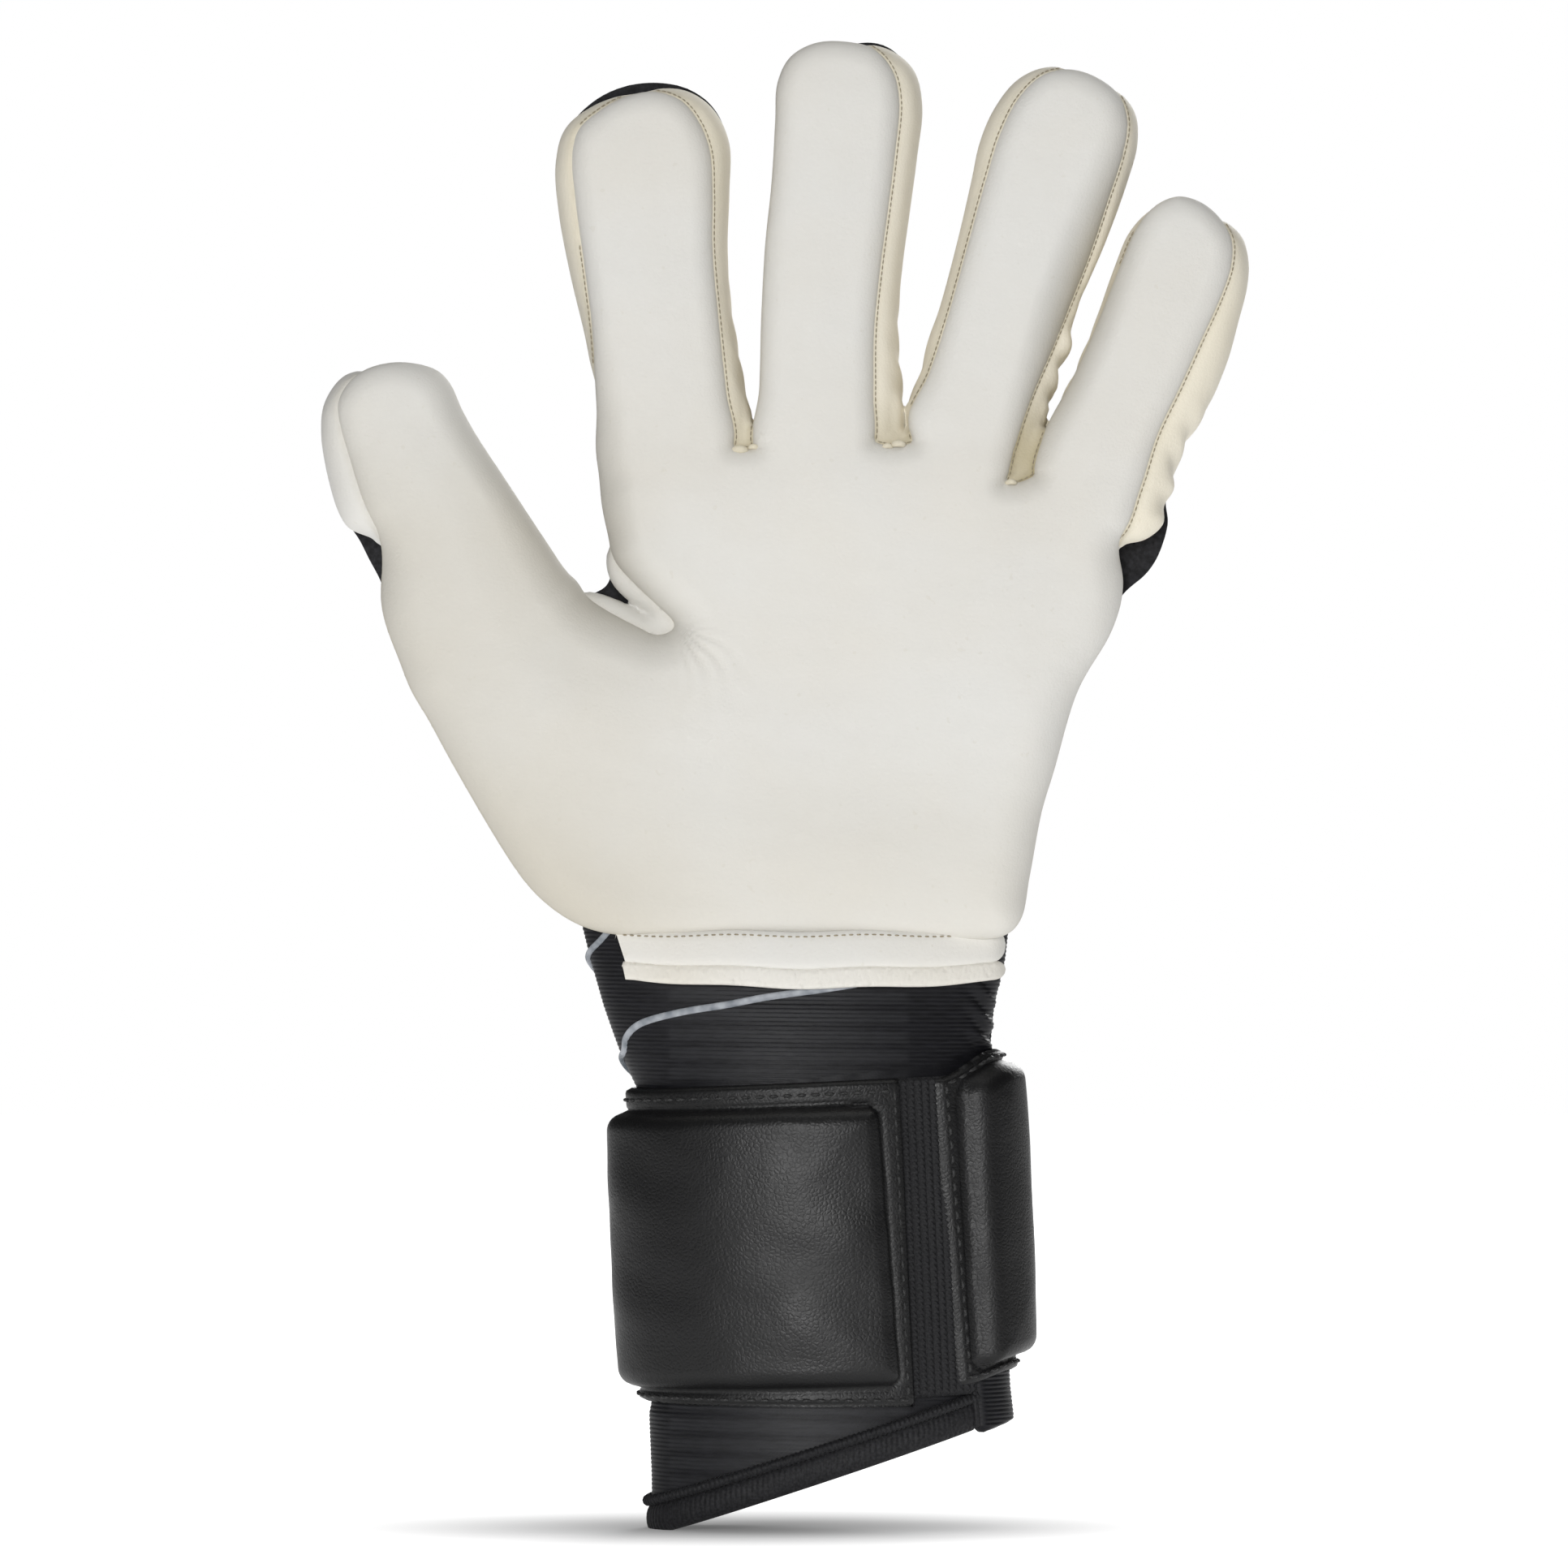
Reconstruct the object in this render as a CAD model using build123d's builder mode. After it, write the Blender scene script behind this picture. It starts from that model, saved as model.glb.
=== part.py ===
"""A left goalkeeper glove with a long cuff and a wrap-around padded wrist strap.

The glove stands upright: fingers towards +Z, palm towards -Y, thumb towards -X.
The origin is the middle of the hand opening at the lower end of the cuff.
All sizes are in millimetres.
"""

from build123d import *
import os
from dataclasses import dataclass
from math import cos, radians, sin, tan

# Depths along Y, from the palm face to the back of the hand.
PALM_FACE = -16.0
PALM_INNER = -12.0
BACK_INNER = 10.0
BACK_FACE = 13.0
BACK_PAD_FACE = 18.0
LINING = 1.0

# Walls and clearances.
GUSSET_WALL = 3.0
HINGE_GAP = 0.2
PALM_HINGE_GAP = 3.7
EASE = 0.3

# Hand, measured up from the hand opening.
PALM_BOTTOM = 118.3
HEM_BAND_LOW = 112.0
HEM_EDGE_LOW = 107.5
HEM_FRONT = -18.8
HEM_BACK = -16.2
HEM_LEFT = -48.0
HEM_RIGHT = 39.0

# Cuff: an oval tube along the forearm, cut off at a slant at the hand opening.
FOREARM_LEAN = 2.6
MOUTH_SLOPE = 19.0
SLEEVE_HALF_WIDTH = 38.5
SLEEVE_HALF_DEPTH = 20.0
SLEEVE_WALL = 2.5
SLEEVE_TOP = 86.0
WRIST_HALF_WIDTH = 47.0
WRIST_HALF_DEPTH = 13.0
WRIST_X = -9.0
BINDING_HEIGHT = 5.4
BINDING_PROUD = 0.8
CORD_HEIGHT = 2.0

# Strap: layers counted outwards from the sleeve.
STRAP_BOTTOM = 13.5
STRAP_HEIGHT = 70.0
SIDE_BOTTOM = 20.0
SIDE_HEIGHT = 67.5
HEM_MARGIN = 4.0
SLEEVE_CLEARANCE = 1.2
BACKING = 1.0
HEM_THICKNESS = 1.2
PAD_THICKNESS = 3.4
SKIN = 1.0
SKIN_TURN = 1.5  # the skin's thickness at a pad's ends, in degrees round the forearm
HOOK_THICKNESS = 1.0
FLAP_THICKNESS = 3.2
CLOSURE_GAP = 0.5

# Where the binding of the hand opening gives way to the tab, in degrees round the forearm.
BINDING_SPAN = (21.0, 326.0)
TAB_SPAN = (-34.0, 21.0)

# Strap: where each panel and pad starts and ends, in degrees round the forearm from +X.
ANCHOR_SPAN = (98.0, 158.0)
LOOP_SPAN = (102.0, 150.0)
FRONT_SPAN = (160.0, 312.0)
FRONT_PAD_SPAN = (166.0, 300.0)
ELASTIC_SPAN = (313.0, 332.5)
SIDE_SPAN = (333.5, 393.0)
SIDE_PAD_SPAN = (339.0, 388.0)
FLAP_SPAN = (395.0, 492.0)
HOOK_SPAN = (462.0, 488.0)

os.makedirs("parts", exist_ok=True)


def save(builder, name):
    """Label a finished piece and write it to its own file."""
    builder.part.label = name
    export_step(builder.part, f"parts/{name}.step")


def leaning_plane(x, z, lean):
    """Plane facing the palm side (-Y), leaning the given degrees from +Z towards +X."""
    angle = radians(lean)
    return Plane(origin=(x, 0, z), x_dir=(cos(angle), 0, -sin(angle)), z_dir=(0, -1, 0))


@dataclass
class Digit:
    """A finger or the thumb, drawn in the plane of its own two hinge lines."""

    name: str
    root: tuple  # x and z of the middle of the base hinge
    hinge_lean: float  # tilt of the hinge lines
    lean: float  # tilt of the digit itself
    middle_hinge: float  # distance from the base hinge to the middle hinge
    length: float  # distance from the base hinge to the tip
    widths: tuple  # at the base hinge, at the middle hinge and at the tip
    rounding: float  # corner radius of the tip

    @property
    def plane(self):
        """Plane of the digit, with its origin at the base hinge."""
        return leaning_plane(*self.root, self.hinge_lean)

    def width(self, along):
        """Width at a distance from the base hinge."""
        base, middle, tip = self.widths
        if along < self.middle_hinge:
            return base + (middle - base) * along / self.middle_hinge
        shoulder = self.length - self.rounding - self.middle_hinge
        share = min(1.0, (along - self.middle_hinge) / shoulder)
        return middle + (tip - middle) * share

    def corner(self, along, side, inset):
        """Point on the left (-1) or right (+1) edge, moved in by the inset."""
        centre = along * tan(radians(self.lean - self.hinge_lean))
        return (centre + side * (self.width(along) / 2 - inset), along)

    def face(self, low, high, inset=0.0, rounding=0.0):
        """Flat outline of the stretch between two distances from the base hinge."""
        corners = [(low, -1), (low, 1), (high, 1), (high, -1)]
        with BuildSketch() as outline:
            with BuildLine():
                Polyline(*[self.corner(along, side, inset) for along, side in corners], close=True)
            make_face()
            if rounding:
                fillet(outline.vertices().group_by(Axis.Y)[-1], rounding)
        return outline.sketch


DIGITS = [
    Digit("index", (-35.8, 236.0), 0.0, -5.7, 33.0, 73.0, (32.0, 35.0, 37.6), 16.0),
    Digit("middle", (-0.6, 237.0), 0.0, 3.8, 36.0, 80.5, (31.0, 30.4, 32.0), 14.0),
    Digit("ring", (32.4, 236.5), 7.0, 15.5, 34.0, 77.5, (28.0, 30.0, 32.0), 14.0),
    Digit("little", (63.0, 227.0), 12.0, 22.5, 27.0, 59.0, (29.6, 30.0, 27.6), 13.0),
    Digit("thumb", (-79.6, 192.8), -22.0, -26.0, 27.0, 57.0, (40.0, 34.5, 31.0), 11.0),
]


def at_depth(plane, depth):
    """The plane moved to a depth along Y; it still faces -Y."""
    return plane.offset(-depth)


def digit_plate(digit, low, high, front, back, rounding=0.0):
    """Flat panel of one stretch of a digit between two depths."""
    with BuildPart() as plate:
        with BuildSketch(at_depth(digit.plane, back)):
            add(digit.face(low, high, rounding=rounding))
        extrude(amount=back - front)
    return plate


def digit_gusset(digit, low, high, rounding=0.0):
    """Side strip of one stretch; with a rounding it also runs over the tip."""
    roof = GUSSET_WALL if rounding else -1.0
    inner_round = rounding - GUSSET_WALL if rounding else 0.0
    with BuildPart() as strip:
        with BuildSketch(at_depth(digit.plane, BACK_INNER)):
            add(digit.face(low, high, rounding=rounding))
            hollow = digit.face(low - 1.0, high - roof, GUSSET_WALL, inner_round)
            add(hollow, mode=Mode.SUBTRACT)
        extrude(amount=BACK_INNER - PALM_INNER)
    return strip


# Digits: each has a lower and an upper stretch, hinged at the base and in the middle.
for digit in DIGITS:
    lower_low = HINGE_GAP
    lower_high = digit.middle_hinge - HINGE_GAP
    upper_low = digit.middle_hinge + HINGE_GAP
    palm_low = PALM_HINGE_GAP
    palm_high = digit.middle_hinge - PALM_HINGE_GAP
    palm_upper = digit.middle_hinge + PALM_HINGE_GAP

    lower_latex = digit_plate(digit, palm_low, palm_high, PALM_FACE, PALM_INNER)
    save(lower_latex, f"{digit.name}_lower_latex")
    lower_gusset = digit_gusset(digit, lower_low, lower_high)
    save(lower_gusset, f"{digit.name}_lower_gusset")
    lower_back = digit_plate(digit, lower_low, lower_high, BACK_INNER, BACK_FACE)
    save(lower_back, f"{digit.name}_lower_back")

    rounding = digit.rounding
    upper_latex = digit_plate(digit, palm_upper, digit.length, PALM_FACE, PALM_INNER, rounding)
    save(upper_latex, f"{digit.name}_upper_latex")
    upper_gusset = digit_gusset(digit, upper_low, digit.length, rounding)
    save(upper_gusset, f"{digit.name}_upper_gusset")
    upper_back = digit_plate(digit, upper_low, digit.length, BACK_INNER, BACK_FACE, rounding)
    save(upper_back, f"{digit.name}_upper_back")


def base_corner(digit, side):
    """Row-frame x and z of one end of a digit's base hinge line."""
    angle = radians(digit.hinge_lean)
    across = side * digit.widths[0] / 2
    return (digit.root[0] + across * cos(angle), digit.root[1] - across * sin(angle))


index, middle, ring, little, thumb = DIGITS

# Outline of the hand, from the heel of the palm round by the little finger.
with BuildSketch() as hand_outline:
    with BuildLine():
        Line((-50, PALM_BOTTOM), (39, PALM_BOTTOM))
        ThreePointArc((39, PALM_BOTTOM), (46.5, 146), (54.7, 173))
        Polyline((54.7, 173), (63.5, 189), (65, 198), (73, 207), base_corner(little, 1))
        Line(base_corner(little, 1), base_corner(little, -1))
        Polyline(base_corner(little, -1), (43.4, 220.5), (41, 220.5), base_corner(ring, 1))
        Line(base_corner(ring, 1), base_corner(ring, -1))
        Polyline(base_corner(ring, -1), (16.6, 228), (15, 228), base_corner(middle, 1))
        Line(base_corner(middle, 1), base_corner(middle, -1))
        Polyline(base_corner(middle, -1), (-17.2, 227.2), (-19, 227.2), base_corner(index, 1))
        Line(base_corner(index, 1), base_corner(index, -1))
        Polyline(base_corner(index, -1), (-50.5, 204), (-37, 187.5), (-52, 193.5))
        Polyline((-52, 193.5), base_corner(thumb, 1), base_corner(thumb, -1))
        ThreePointArc(base_corner(thumb, -1), (-83.9, 155.2), (-60.5, 123.7))
        Line((-60.5, 123.7), (-50, PALM_BOTTOM))
    make_face()


def hand_cutter(width_change, low, high):
    """Blocks across every digit's base hinge line, to cut the hand back from the digits."""
    with BuildPart() as blocks:
        for digit in DIGITS:
            with BuildSketch(at_depth(digit.plane, BACK_PAD_FACE)):
                with Locations((0, (low + high) / 2)):
                    Rectangle(digit.widths[0] + width_change, high - low)
            extrude(amount=BACK_PAD_FACE - PALM_FACE)
    return blocks.part


palm_slots = hand_cutter(4, -PALM_HINGE_GAP, PALM_HINGE_GAP)
hinge_slots = hand_cutter(4, -HINGE_GAP, HINGE_GAP)
channels = hand_cutter(-2 * GUSSET_WALL, -9.0, 9.0)

with BuildPart() as palm_latex:
    with BuildSketch(at_depth(Plane.XZ, PALM_INNER)):
        add(hand_outline.sketch)
    extrude(amount=PALM_INNER - PALM_FACE)
    add(palm_slots, mode=Mode.SUBTRACT)
save(palm_latex, "palm_latex")

with BuildPart() as backhand_body:
    with BuildSketch(at_depth(Plane.XZ, BACK_FACE)):
        add(hand_outline.sketch)
    extrude(amount=BACK_FACE - BACK_INNER)
    add(hinge_slots, mode=Mode.SUBTRACT)
save(backhand_body, "backhand_body")

# Foam panel on the back of the hand.
pad_corners = [(-48, 128), (34, 128), (44, 172), (56, 200), (38, 212), (14, 220), (-18, 220), (-44, 200)]
with BuildPart() as backhand_pad:
    with BuildSketch(at_depth(Plane.XZ, BACK_PAD_FACE)):
        with BuildLine():
            Polyline(*pad_corners, close=True)
        make_face()
    extrude(amount=BACK_PAD_FACE - BACK_FACE)
save(backhand_pad, "backhand_pad")

# Linings against the hand.
with BuildSketch() as lining_outline:
    add(hand_outline.sketch)
    offset(amount=-GUSSET_WALL - EASE, mode=Mode.REPLACE)

with BuildPart() as palm_lining:
    with BuildSketch(at_depth(Plane.XZ, PALM_INNER + LINING)):
        add(lining_outline.sketch)
    extrude(amount=LINING)
save(palm_lining, "palm_lining")

with BuildPart() as backhand_lining:
    with BuildSketch(at_depth(Plane.XZ, BACK_INNER)):
        add(lining_outline.sketch)
    extrude(amount=LINING)
save(backhand_lining, "backhand_lining")

# Walls round the edge of the hand, between the palm and the back.
with BuildSketch() as hand_wall:
    add(hand_outline.sketch)
    offset(amount=-GUSSET_WALL, mode=Mode.SUBTRACT)


def hand_wall_part(region):
    """The part of the hand's wall inside a region given by its x and z corners."""
    with BuildPart() as wall:
        with BuildSketch(at_depth(Plane.XZ, BACK_INNER)):
            with BuildLine():
                Polyline(*region, close=True)
            make_face()
            add(hand_wall.sketch, mode=Mode.INTERSECT)
        extrude(amount=BACK_INNER - PALM_INNER)
        add(channels, mode=Mode.SUBTRACT)
        add(hinge_slots, mode=Mode.SUBTRACT)
    return wall


# The wall is open at the wrist, so the side panels start above its bottom run.
wrist_line = PALM_BOTTOM + GUSSET_WALL + 0.2
WALL_REGIONS = {
    "little_side_panel": [
        (36, wrist_line), (20, wrist_line), (20, 100), (90, 100), (90, 240), (60, 240), (60, 190),
    ],
    "thumb_side_panel": [(-48, wrist_line), (-48, 100), (-120, 100), (-120, 195), (-88, 195), (-60, 130)],
    "thumb_web_gusset": [(-80, 190), (-80, 215), (-60, 240), (-38, 240), (-32, 184), (-38, 180)],
    "index_middle_web": [(-28, 240), (-28, 220), (-8, 220), (-8, 240)],
    "middle_ring_web": [(6, 241), (6, 220), (26, 220), (26, 241)],
    "ring_little_web": [(34, 240), (34, 212), (55, 212), (55, 240)],
}
for name, region in WALL_REGIONS.items():
    save(hand_wall_part(region), name)

# Hem at the heel of the palm: a folded band over a raw foam edge.
hem_width = HEM_RIGHT - HEM_LEFT
hem_middle = (HEM_RIGHT + HEM_LEFT) / 2


def hem_strip(low, high, front, back):
    """Straight strip along the hem between two heights and two depths."""
    with BuildPart() as strip:
        with BuildSketch(at_depth(Plane.XZ, back)):
            with Locations((hem_middle, (low + high) / 2)):
                Rectangle(hem_width, high - low)
        extrude(amount=back - front)
    return strip


palm_hem_band = hem_strip(HEM_BAND_LOW, PALM_BOTTOM - 0.1, HEM_FRONT, HEM_BACK)
save(palm_hem_band, "palm_hem_band")
palm_hem_edge = hem_strip(HEM_EDGE_LOW, HEM_BAND_LOW, HEM_FRONT + 0.5, HEM_BACK)
save(palm_hem_edge, "palm_hem_edge")

# Cuff.
lean = radians(FOREARM_LEAN)
slope = radians(MOUTH_SLOPE)
forearm = Plane(origin=(0, 0, 0), x_dir=(cos(lean), 0, sin(lean)), z_dir=(-sin(lean), 0, cos(lean)))
mouth = Plane(origin=(0, 0, 0), x_dir=(cos(slope), 0, sin(slope)), z_dir=(-sin(slope), 0, cos(slope)))
BELOW_MOUTH = 30.0


def oval_ring(outer, inner):
    """Add an oval ring to the sketch, each edge given as its distance outside the sleeve."""
    Ellipse(SLEEVE_HALF_WIDTH + outer, SLEEVE_HALF_DEPTH + outer)
    Ellipse(SLEEVE_HALF_WIDTH + inner, SLEEVE_HALF_DEPTH + inner, mode=Mode.SUBTRACT)


def span_wedge(start, end):
    """Wedge of the forearm's section between two angles."""
    reach = 90.0
    turns = [start + (end - start) * share / 3 for share in range(4)]
    rim = [(reach * cos(radians(turn)), reach * sin(radians(turn))) for turn in turns]
    with BuildSketch() as wedge:
        with BuildLine():
            Polyline((0, 0), *rim, close=True)
        make_face()
    return wedge.sketch


def mouth_band(span, outer, inner, low, high):
    """Part of an oval band that follows the slanted hand opening between two heights over it."""
    with BuildPart() as band:
        with BuildSketch(forearm.offset(-BELOW_MOUTH)):
            oval_ring(outer, inner)
            add(span_wedge(*span), mode=Mode.INTERSECT)
        extrude(amount=2 * BELOW_MOUTH)
        split(bisect_by=mouth.offset(low), keep=Keep.TOP)
        split(bisect_by=mouth.offset(high), keep=Keep.BOTTOM)
    return band


with BuildPart() as cuff_sleeve:
    with BuildSketch(forearm.offset(-BELOW_MOUTH)):
        oval_ring(0, -SLEEVE_WALL)
    extrude(amount=BELOW_MOUTH + SLEEVE_TOP)
    split(bisect_by=mouth.offset(BINDING_HEIGHT), keep=Keep.TOP)
save(cuff_sleeve, "cuff_sleeve")

with BuildPart() as wrist_gaiter:
    with BuildSketch(forearm.offset(SLEEVE_TOP)):
        Ellipse(SLEEVE_HALF_WIDTH, SLEEVE_HALF_DEPTH)
    with BuildSketch(Plane.XY.offset(PALM_BOTTOM - 0.1)):
        with Locations((WRIST_X, 0)):
            Ellipse(WRIST_HALF_WIDTH, WRIST_HALF_DEPTH)
    loft()
    with BuildSketch(forearm.offset(SLEEVE_TOP)):
        Ellipse(SLEEVE_HALF_WIDTH - SLEEVE_WALL, SLEEVE_HALF_DEPTH - SLEEVE_WALL)
    with BuildSketch(Plane.XY.offset(PALM_BOTTOM - 0.1)):
        with Locations((WRIST_X, 0)):
            Ellipse(WRIST_HALF_WIDTH - SLEEVE_WALL, WRIST_HALF_DEPTH - SLEEVE_WALL)
    loft(mode=Mode.SUBTRACT)
save(wrist_gaiter, "wrist_gaiter")

binding_inner = -SLEEVE_WALL - BINDING_PROUD
cord_top = BINDING_HEIGHT + CORD_HEIGHT
cuff_binding = mouth_band(BINDING_SPAN, BINDING_PROUD, binding_inner, 0, BINDING_HEIGHT)
save(cuff_binding, "cuff_binding")
cuff_edge_cord = mouth_band(BINDING_SPAN, BINDING_PROUD, 0, BINDING_HEIGHT, cord_top)
save(cuff_edge_cord, "cuff_edge_cord")
cuff_tab = mouth_band(TAB_SPAN, BINDING_PROUD, binding_inner, 0, BINDING_HEIGHT)
save(cuff_tab, "cuff_tab")


def panel_layer(span, bottom, height, inner, outer):
    """One layer of a strap panel, wrapped round the forearm."""
    with BuildPart() as layer:
        with BuildSketch(forearm.offset(bottom)):
            oval_ring(outer, inner)
            add(span_wedge(*span), mode=Mode.INTERSECT)
        extrude(amount=height)
    return layer


hem_level = SLEEVE_CLEARANCE + BACKING
cover_level = hem_level + PAD_THICKNESS + SKIN


def padded_panel(name, span, pad_span, bottom, height):
    """A strap panel: an inner backing, a foam pad and a cover with a flat hem round it."""
    backing = panel_layer(span, bottom, height, SLEEVE_CLEARANCE, hem_level)
    save(backing, f"{name}_backing")
    pad_bottom = bottom + HEM_MARGIN
    pad_height = height - 2 * HEM_MARGIN
    pad = panel_layer(pad_span, pad_bottom, pad_height, hem_level, cover_level - SKIN)
    save(pad, f"{name}_pad")
    hem = panel_layer(span, bottom, height, hem_level, hem_level + HEM_THICKNESS)
    skin_span = (pad_span[0] - SKIN_TURN, pad_span[1] + SKIN_TURN)
    skin = panel_layer(skin_span, pad_bottom - SKIN, pad_height + 2 * SKIN, hem_level, cover_level)
    with BuildPart() as cover:
        add(hem.part)
        add(skin.part)
        add(pad.part, mode=Mode.SUBTRACT)
    save(cover, f"{name}_cover")


padded_panel("strap_front", FRONT_SPAN, FRONT_PAD_SPAN, STRAP_BOTTOM, STRAP_HEIGHT)
padded_panel("strap_side", SIDE_SPAN, SIDE_PAD_SPAN, SIDE_BOTTOM, SIDE_HEIGHT)

elastic_bottom = STRAP_BOTTOM + 2
elastic_height = SIDE_BOTTOM + SIDE_HEIGHT - 2 - elastic_bottom
elastic_level = hem_level + 1
strap_elastic = panel_layer(ELASTIC_SPAN, elastic_bottom, elastic_height, SLEEVE_CLEARANCE, elastic_level)
save(strap_elastic, "strap_elastic")

# Closure on the back of the wrist: the flap's hooks press onto the loops of the anchor.
strap_anchor = panel_layer(ANCHOR_SPAN, SIDE_BOTTOM, SIDE_HEIGHT, 0.0, hem_level)
save(strap_anchor, "strap_anchor")
loop_level = hem_level + HOOK_THICKNESS
loop_patch = panel_layer(LOOP_SPAN, SIDE_BOTTOM + 4, SIDE_HEIGHT - 8, hem_level, loop_level)
save(loop_patch, "loop_patch")
hook_level = loop_level + CLOSURE_GAP
flap_level = hook_level + HOOK_THICKNESS
hook_patch = panel_layer(HOOK_SPAN, SIDE_BOTTOM + 5, SIDE_HEIGHT - 10, hook_level, flap_level)
save(hook_patch, "hook_patch")
strap_flap = panel_layer(FLAP_SPAN, SIDE_BOTTOM, SIDE_HEIGHT, flap_level, flap_level + FLAP_THICKNESS)
save(strap_flap, "strap_flap")
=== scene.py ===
"""Left goalkeeper glove: latex palm and fingers, rib knit cuff and a padded wrist strap.

The glove stands upright with its fingers towards +Z, its palm towards -Y and its thumb
towards -X. Sizes are in millimetres and turn into metres when a mesh is made.
"""

import logging
from dataclasses import dataclass
from enum import Enum
from typing import Callable, Sequence

import bpy
import numpy as np
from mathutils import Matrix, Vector


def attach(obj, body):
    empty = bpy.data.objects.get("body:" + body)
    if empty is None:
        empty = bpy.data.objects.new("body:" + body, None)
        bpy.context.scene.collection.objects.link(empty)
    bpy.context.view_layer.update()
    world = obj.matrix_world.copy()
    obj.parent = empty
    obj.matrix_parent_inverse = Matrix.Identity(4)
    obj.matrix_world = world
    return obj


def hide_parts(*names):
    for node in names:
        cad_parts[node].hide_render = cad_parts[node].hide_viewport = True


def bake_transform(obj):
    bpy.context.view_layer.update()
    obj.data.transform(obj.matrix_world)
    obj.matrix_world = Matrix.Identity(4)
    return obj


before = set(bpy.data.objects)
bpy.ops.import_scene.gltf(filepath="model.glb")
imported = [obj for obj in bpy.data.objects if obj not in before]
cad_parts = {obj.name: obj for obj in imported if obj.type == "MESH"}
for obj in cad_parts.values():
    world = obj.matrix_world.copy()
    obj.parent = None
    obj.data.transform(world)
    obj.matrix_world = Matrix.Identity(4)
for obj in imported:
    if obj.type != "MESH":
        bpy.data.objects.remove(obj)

LOG = logging.getLogger("glove")
MM = 0.001
CELL = 0.75

Field = Callable[[np.ndarray, np.ndarray, np.ndarray], np.ndarray]


class Slot(Enum):
    """Names of the record's material slots; some are listed beside the side pieces but none is
    used.
    """

    PALM = "palm_latex"
    GUSSET = "gusset_latex"
    BACK = "back_textile"
    FOAM = "back_foam"
    KNIT = "cuff_knit"
    BINDING = "cuff_binding"
    ELASTIC = "strap_elastic"
    LEATHER = "strap_leather"
    LINING = "lining"
    CLOSURE = "hook_and_loop"


# ---------------------------------------------------------------- numbers and curves


def smooth_step(low: float, high: float, value: np.ndarray) -> np.ndarray:
    """Rise smoothly from 0 at low to 1 at high.

    Args:
        low: where the rise starts.
        high: where the rise ends.
        value: where to read it.

    Returns:
        The share of the rise at each value.
    """
    share = np.clip((value - low) / (high - low), 0.0, 1.0)
    return share * share * (3 - 2 * share)


def closed_curve(points: Sequence[tuple[float, float]], step: float = 1.4) -> np.ndarray:
    """Draw a smooth closed curve through points.

    Args:
        points: corners of the curve, in order.
        step: distance between the drawn points.

    Returns:
        The drawn points, one row each.
    """
    knots = np.array(points, float)
    before, after = np.roll(knots, 1, 0), np.roll(knots, -1, 0)
    beyond = np.roll(knots, -2, 0)
    drawn = []
    for p0, p1, p2, p3 in zip(before, knots, after, beyond):
        g01, g12, g23 = (max(np.linalg.norm(b - a), 1e-3) ** 0.5
                         for a, b in ((p0, p1), (p1, p2), (p2, p3)))
        m1 = (p2 - p1) + g12 * ((p1 - p0) / g01 - (p2 - p0) / (g01 + g12))
        m2 = (p2 - p1) + g12 * ((p3 - p2) / g23 - (p3 - p1) / (g12 + g23))
        count = max(2, int(np.ceil(np.linalg.norm(p2 - p1) / step)))
        for t in np.arange(count) / count:
            drawn.append((2 * t**3 - 3 * t**2 + 1) * p1 + (t**3 - 2 * t**2 + t) * m1
                         + (3 * t**2 - 2 * t**3) * p2 + (t**3 - t**2) * m2)
    return np.array(drawn)


def open_curve(points: Sequence[Sequence[float]], step: float = 0.8) -> np.ndarray:
    """Draw a smooth open curve through points of any dimension.

    Args:
        points: points of the curve, in order.
        step: distance between the drawn points.

    Returns:
        The drawn points, one row each.
    """
    knots = np.array(points, float)
    padded = np.vstack([2 * knots[0] - knots[1], knots, 2 * knots[-1] - knots[-2]])
    drawn = []
    for p0, p1, p2, p3 in zip(padded, padded[1:], padded[2:], padded[3:]):
        count = max(2, int(np.ceil(np.linalg.norm(p2 - p1) / step)))
        for t in np.arange(count) / count:
            drawn.append(0.5 * (2 * p1 + (p2 - p0) * t + (2 * p0 - 5 * p1 + 4 * p2 - p3) * t**2
                                + (3 * p1 - p0 - 3 * p2 + p3) * t**3))
    drawn.append(knots[-1])
    return np.array(drawn)


def ripple(x: np.ndarray, z: np.ndarray, pitch: float, seed: int) -> np.ndarray:
    """Sum a few slanted waves into a soft uneven surface.

    Args:
        x: first coordinate.
        z: second coordinate.
        pitch: rough distance between two crests.
        seed: picks the directions of the waves.

    Returns:
        Heights between about -1 and 1.
    """
    rng = np.random.default_rng(seed)
    total = np.zeros(np.broadcast(x, z).shape)
    for _ in range(5):
        turn, phase, size = rng.uniform(0, 3.14), rng.uniform(0, 6.28), rng.uniform(0.7, 1.5)
        total = total + np.sin((np.cos(turn) * x + np.sin(turn) * z) * 6.28 * size / pitch + phase)
    return total / 3.2


@dataclass(frozen=True)
class Hump:
    """A soft oval rise (or hollow) that is added to a height or a radius."""

    x: float
    z: float
    half_x: float
    half_z: float
    height: float
    lean: float = 0.0

    def spread(self, x: np.ndarray, z: np.ndarray) -> tuple[np.ndarray, np.ndarray]:
        """Squared distances across and along the oval, as shares of its half sizes."""
        turn = np.radians(self.lean)
        across = (x - self.x) * np.cos(turn) - (z - self.z) * np.sin(turn)
        along = (x - self.x) * np.sin(turn) + (z - self.z) * np.cos(turn)
        return (across / self.half_x) ** 2, (along / self.half_z) ** 2

    def at(self, x: np.ndarray, z: np.ndarray) -> np.ndarray:
        """Height of the hump at points."""
        across, along = self.spread(x, z)
        return self.height * np.exp(-across - along)

    def inside(self, x: np.ndarray, z: np.ndarray) -> np.ndarray:
        """Rough distance inside the hump's oval."""
        across, along = self.spread(x, z)
        return (1 - np.sqrt(across + along)) * min(self.half_x, self.half_z)


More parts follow.
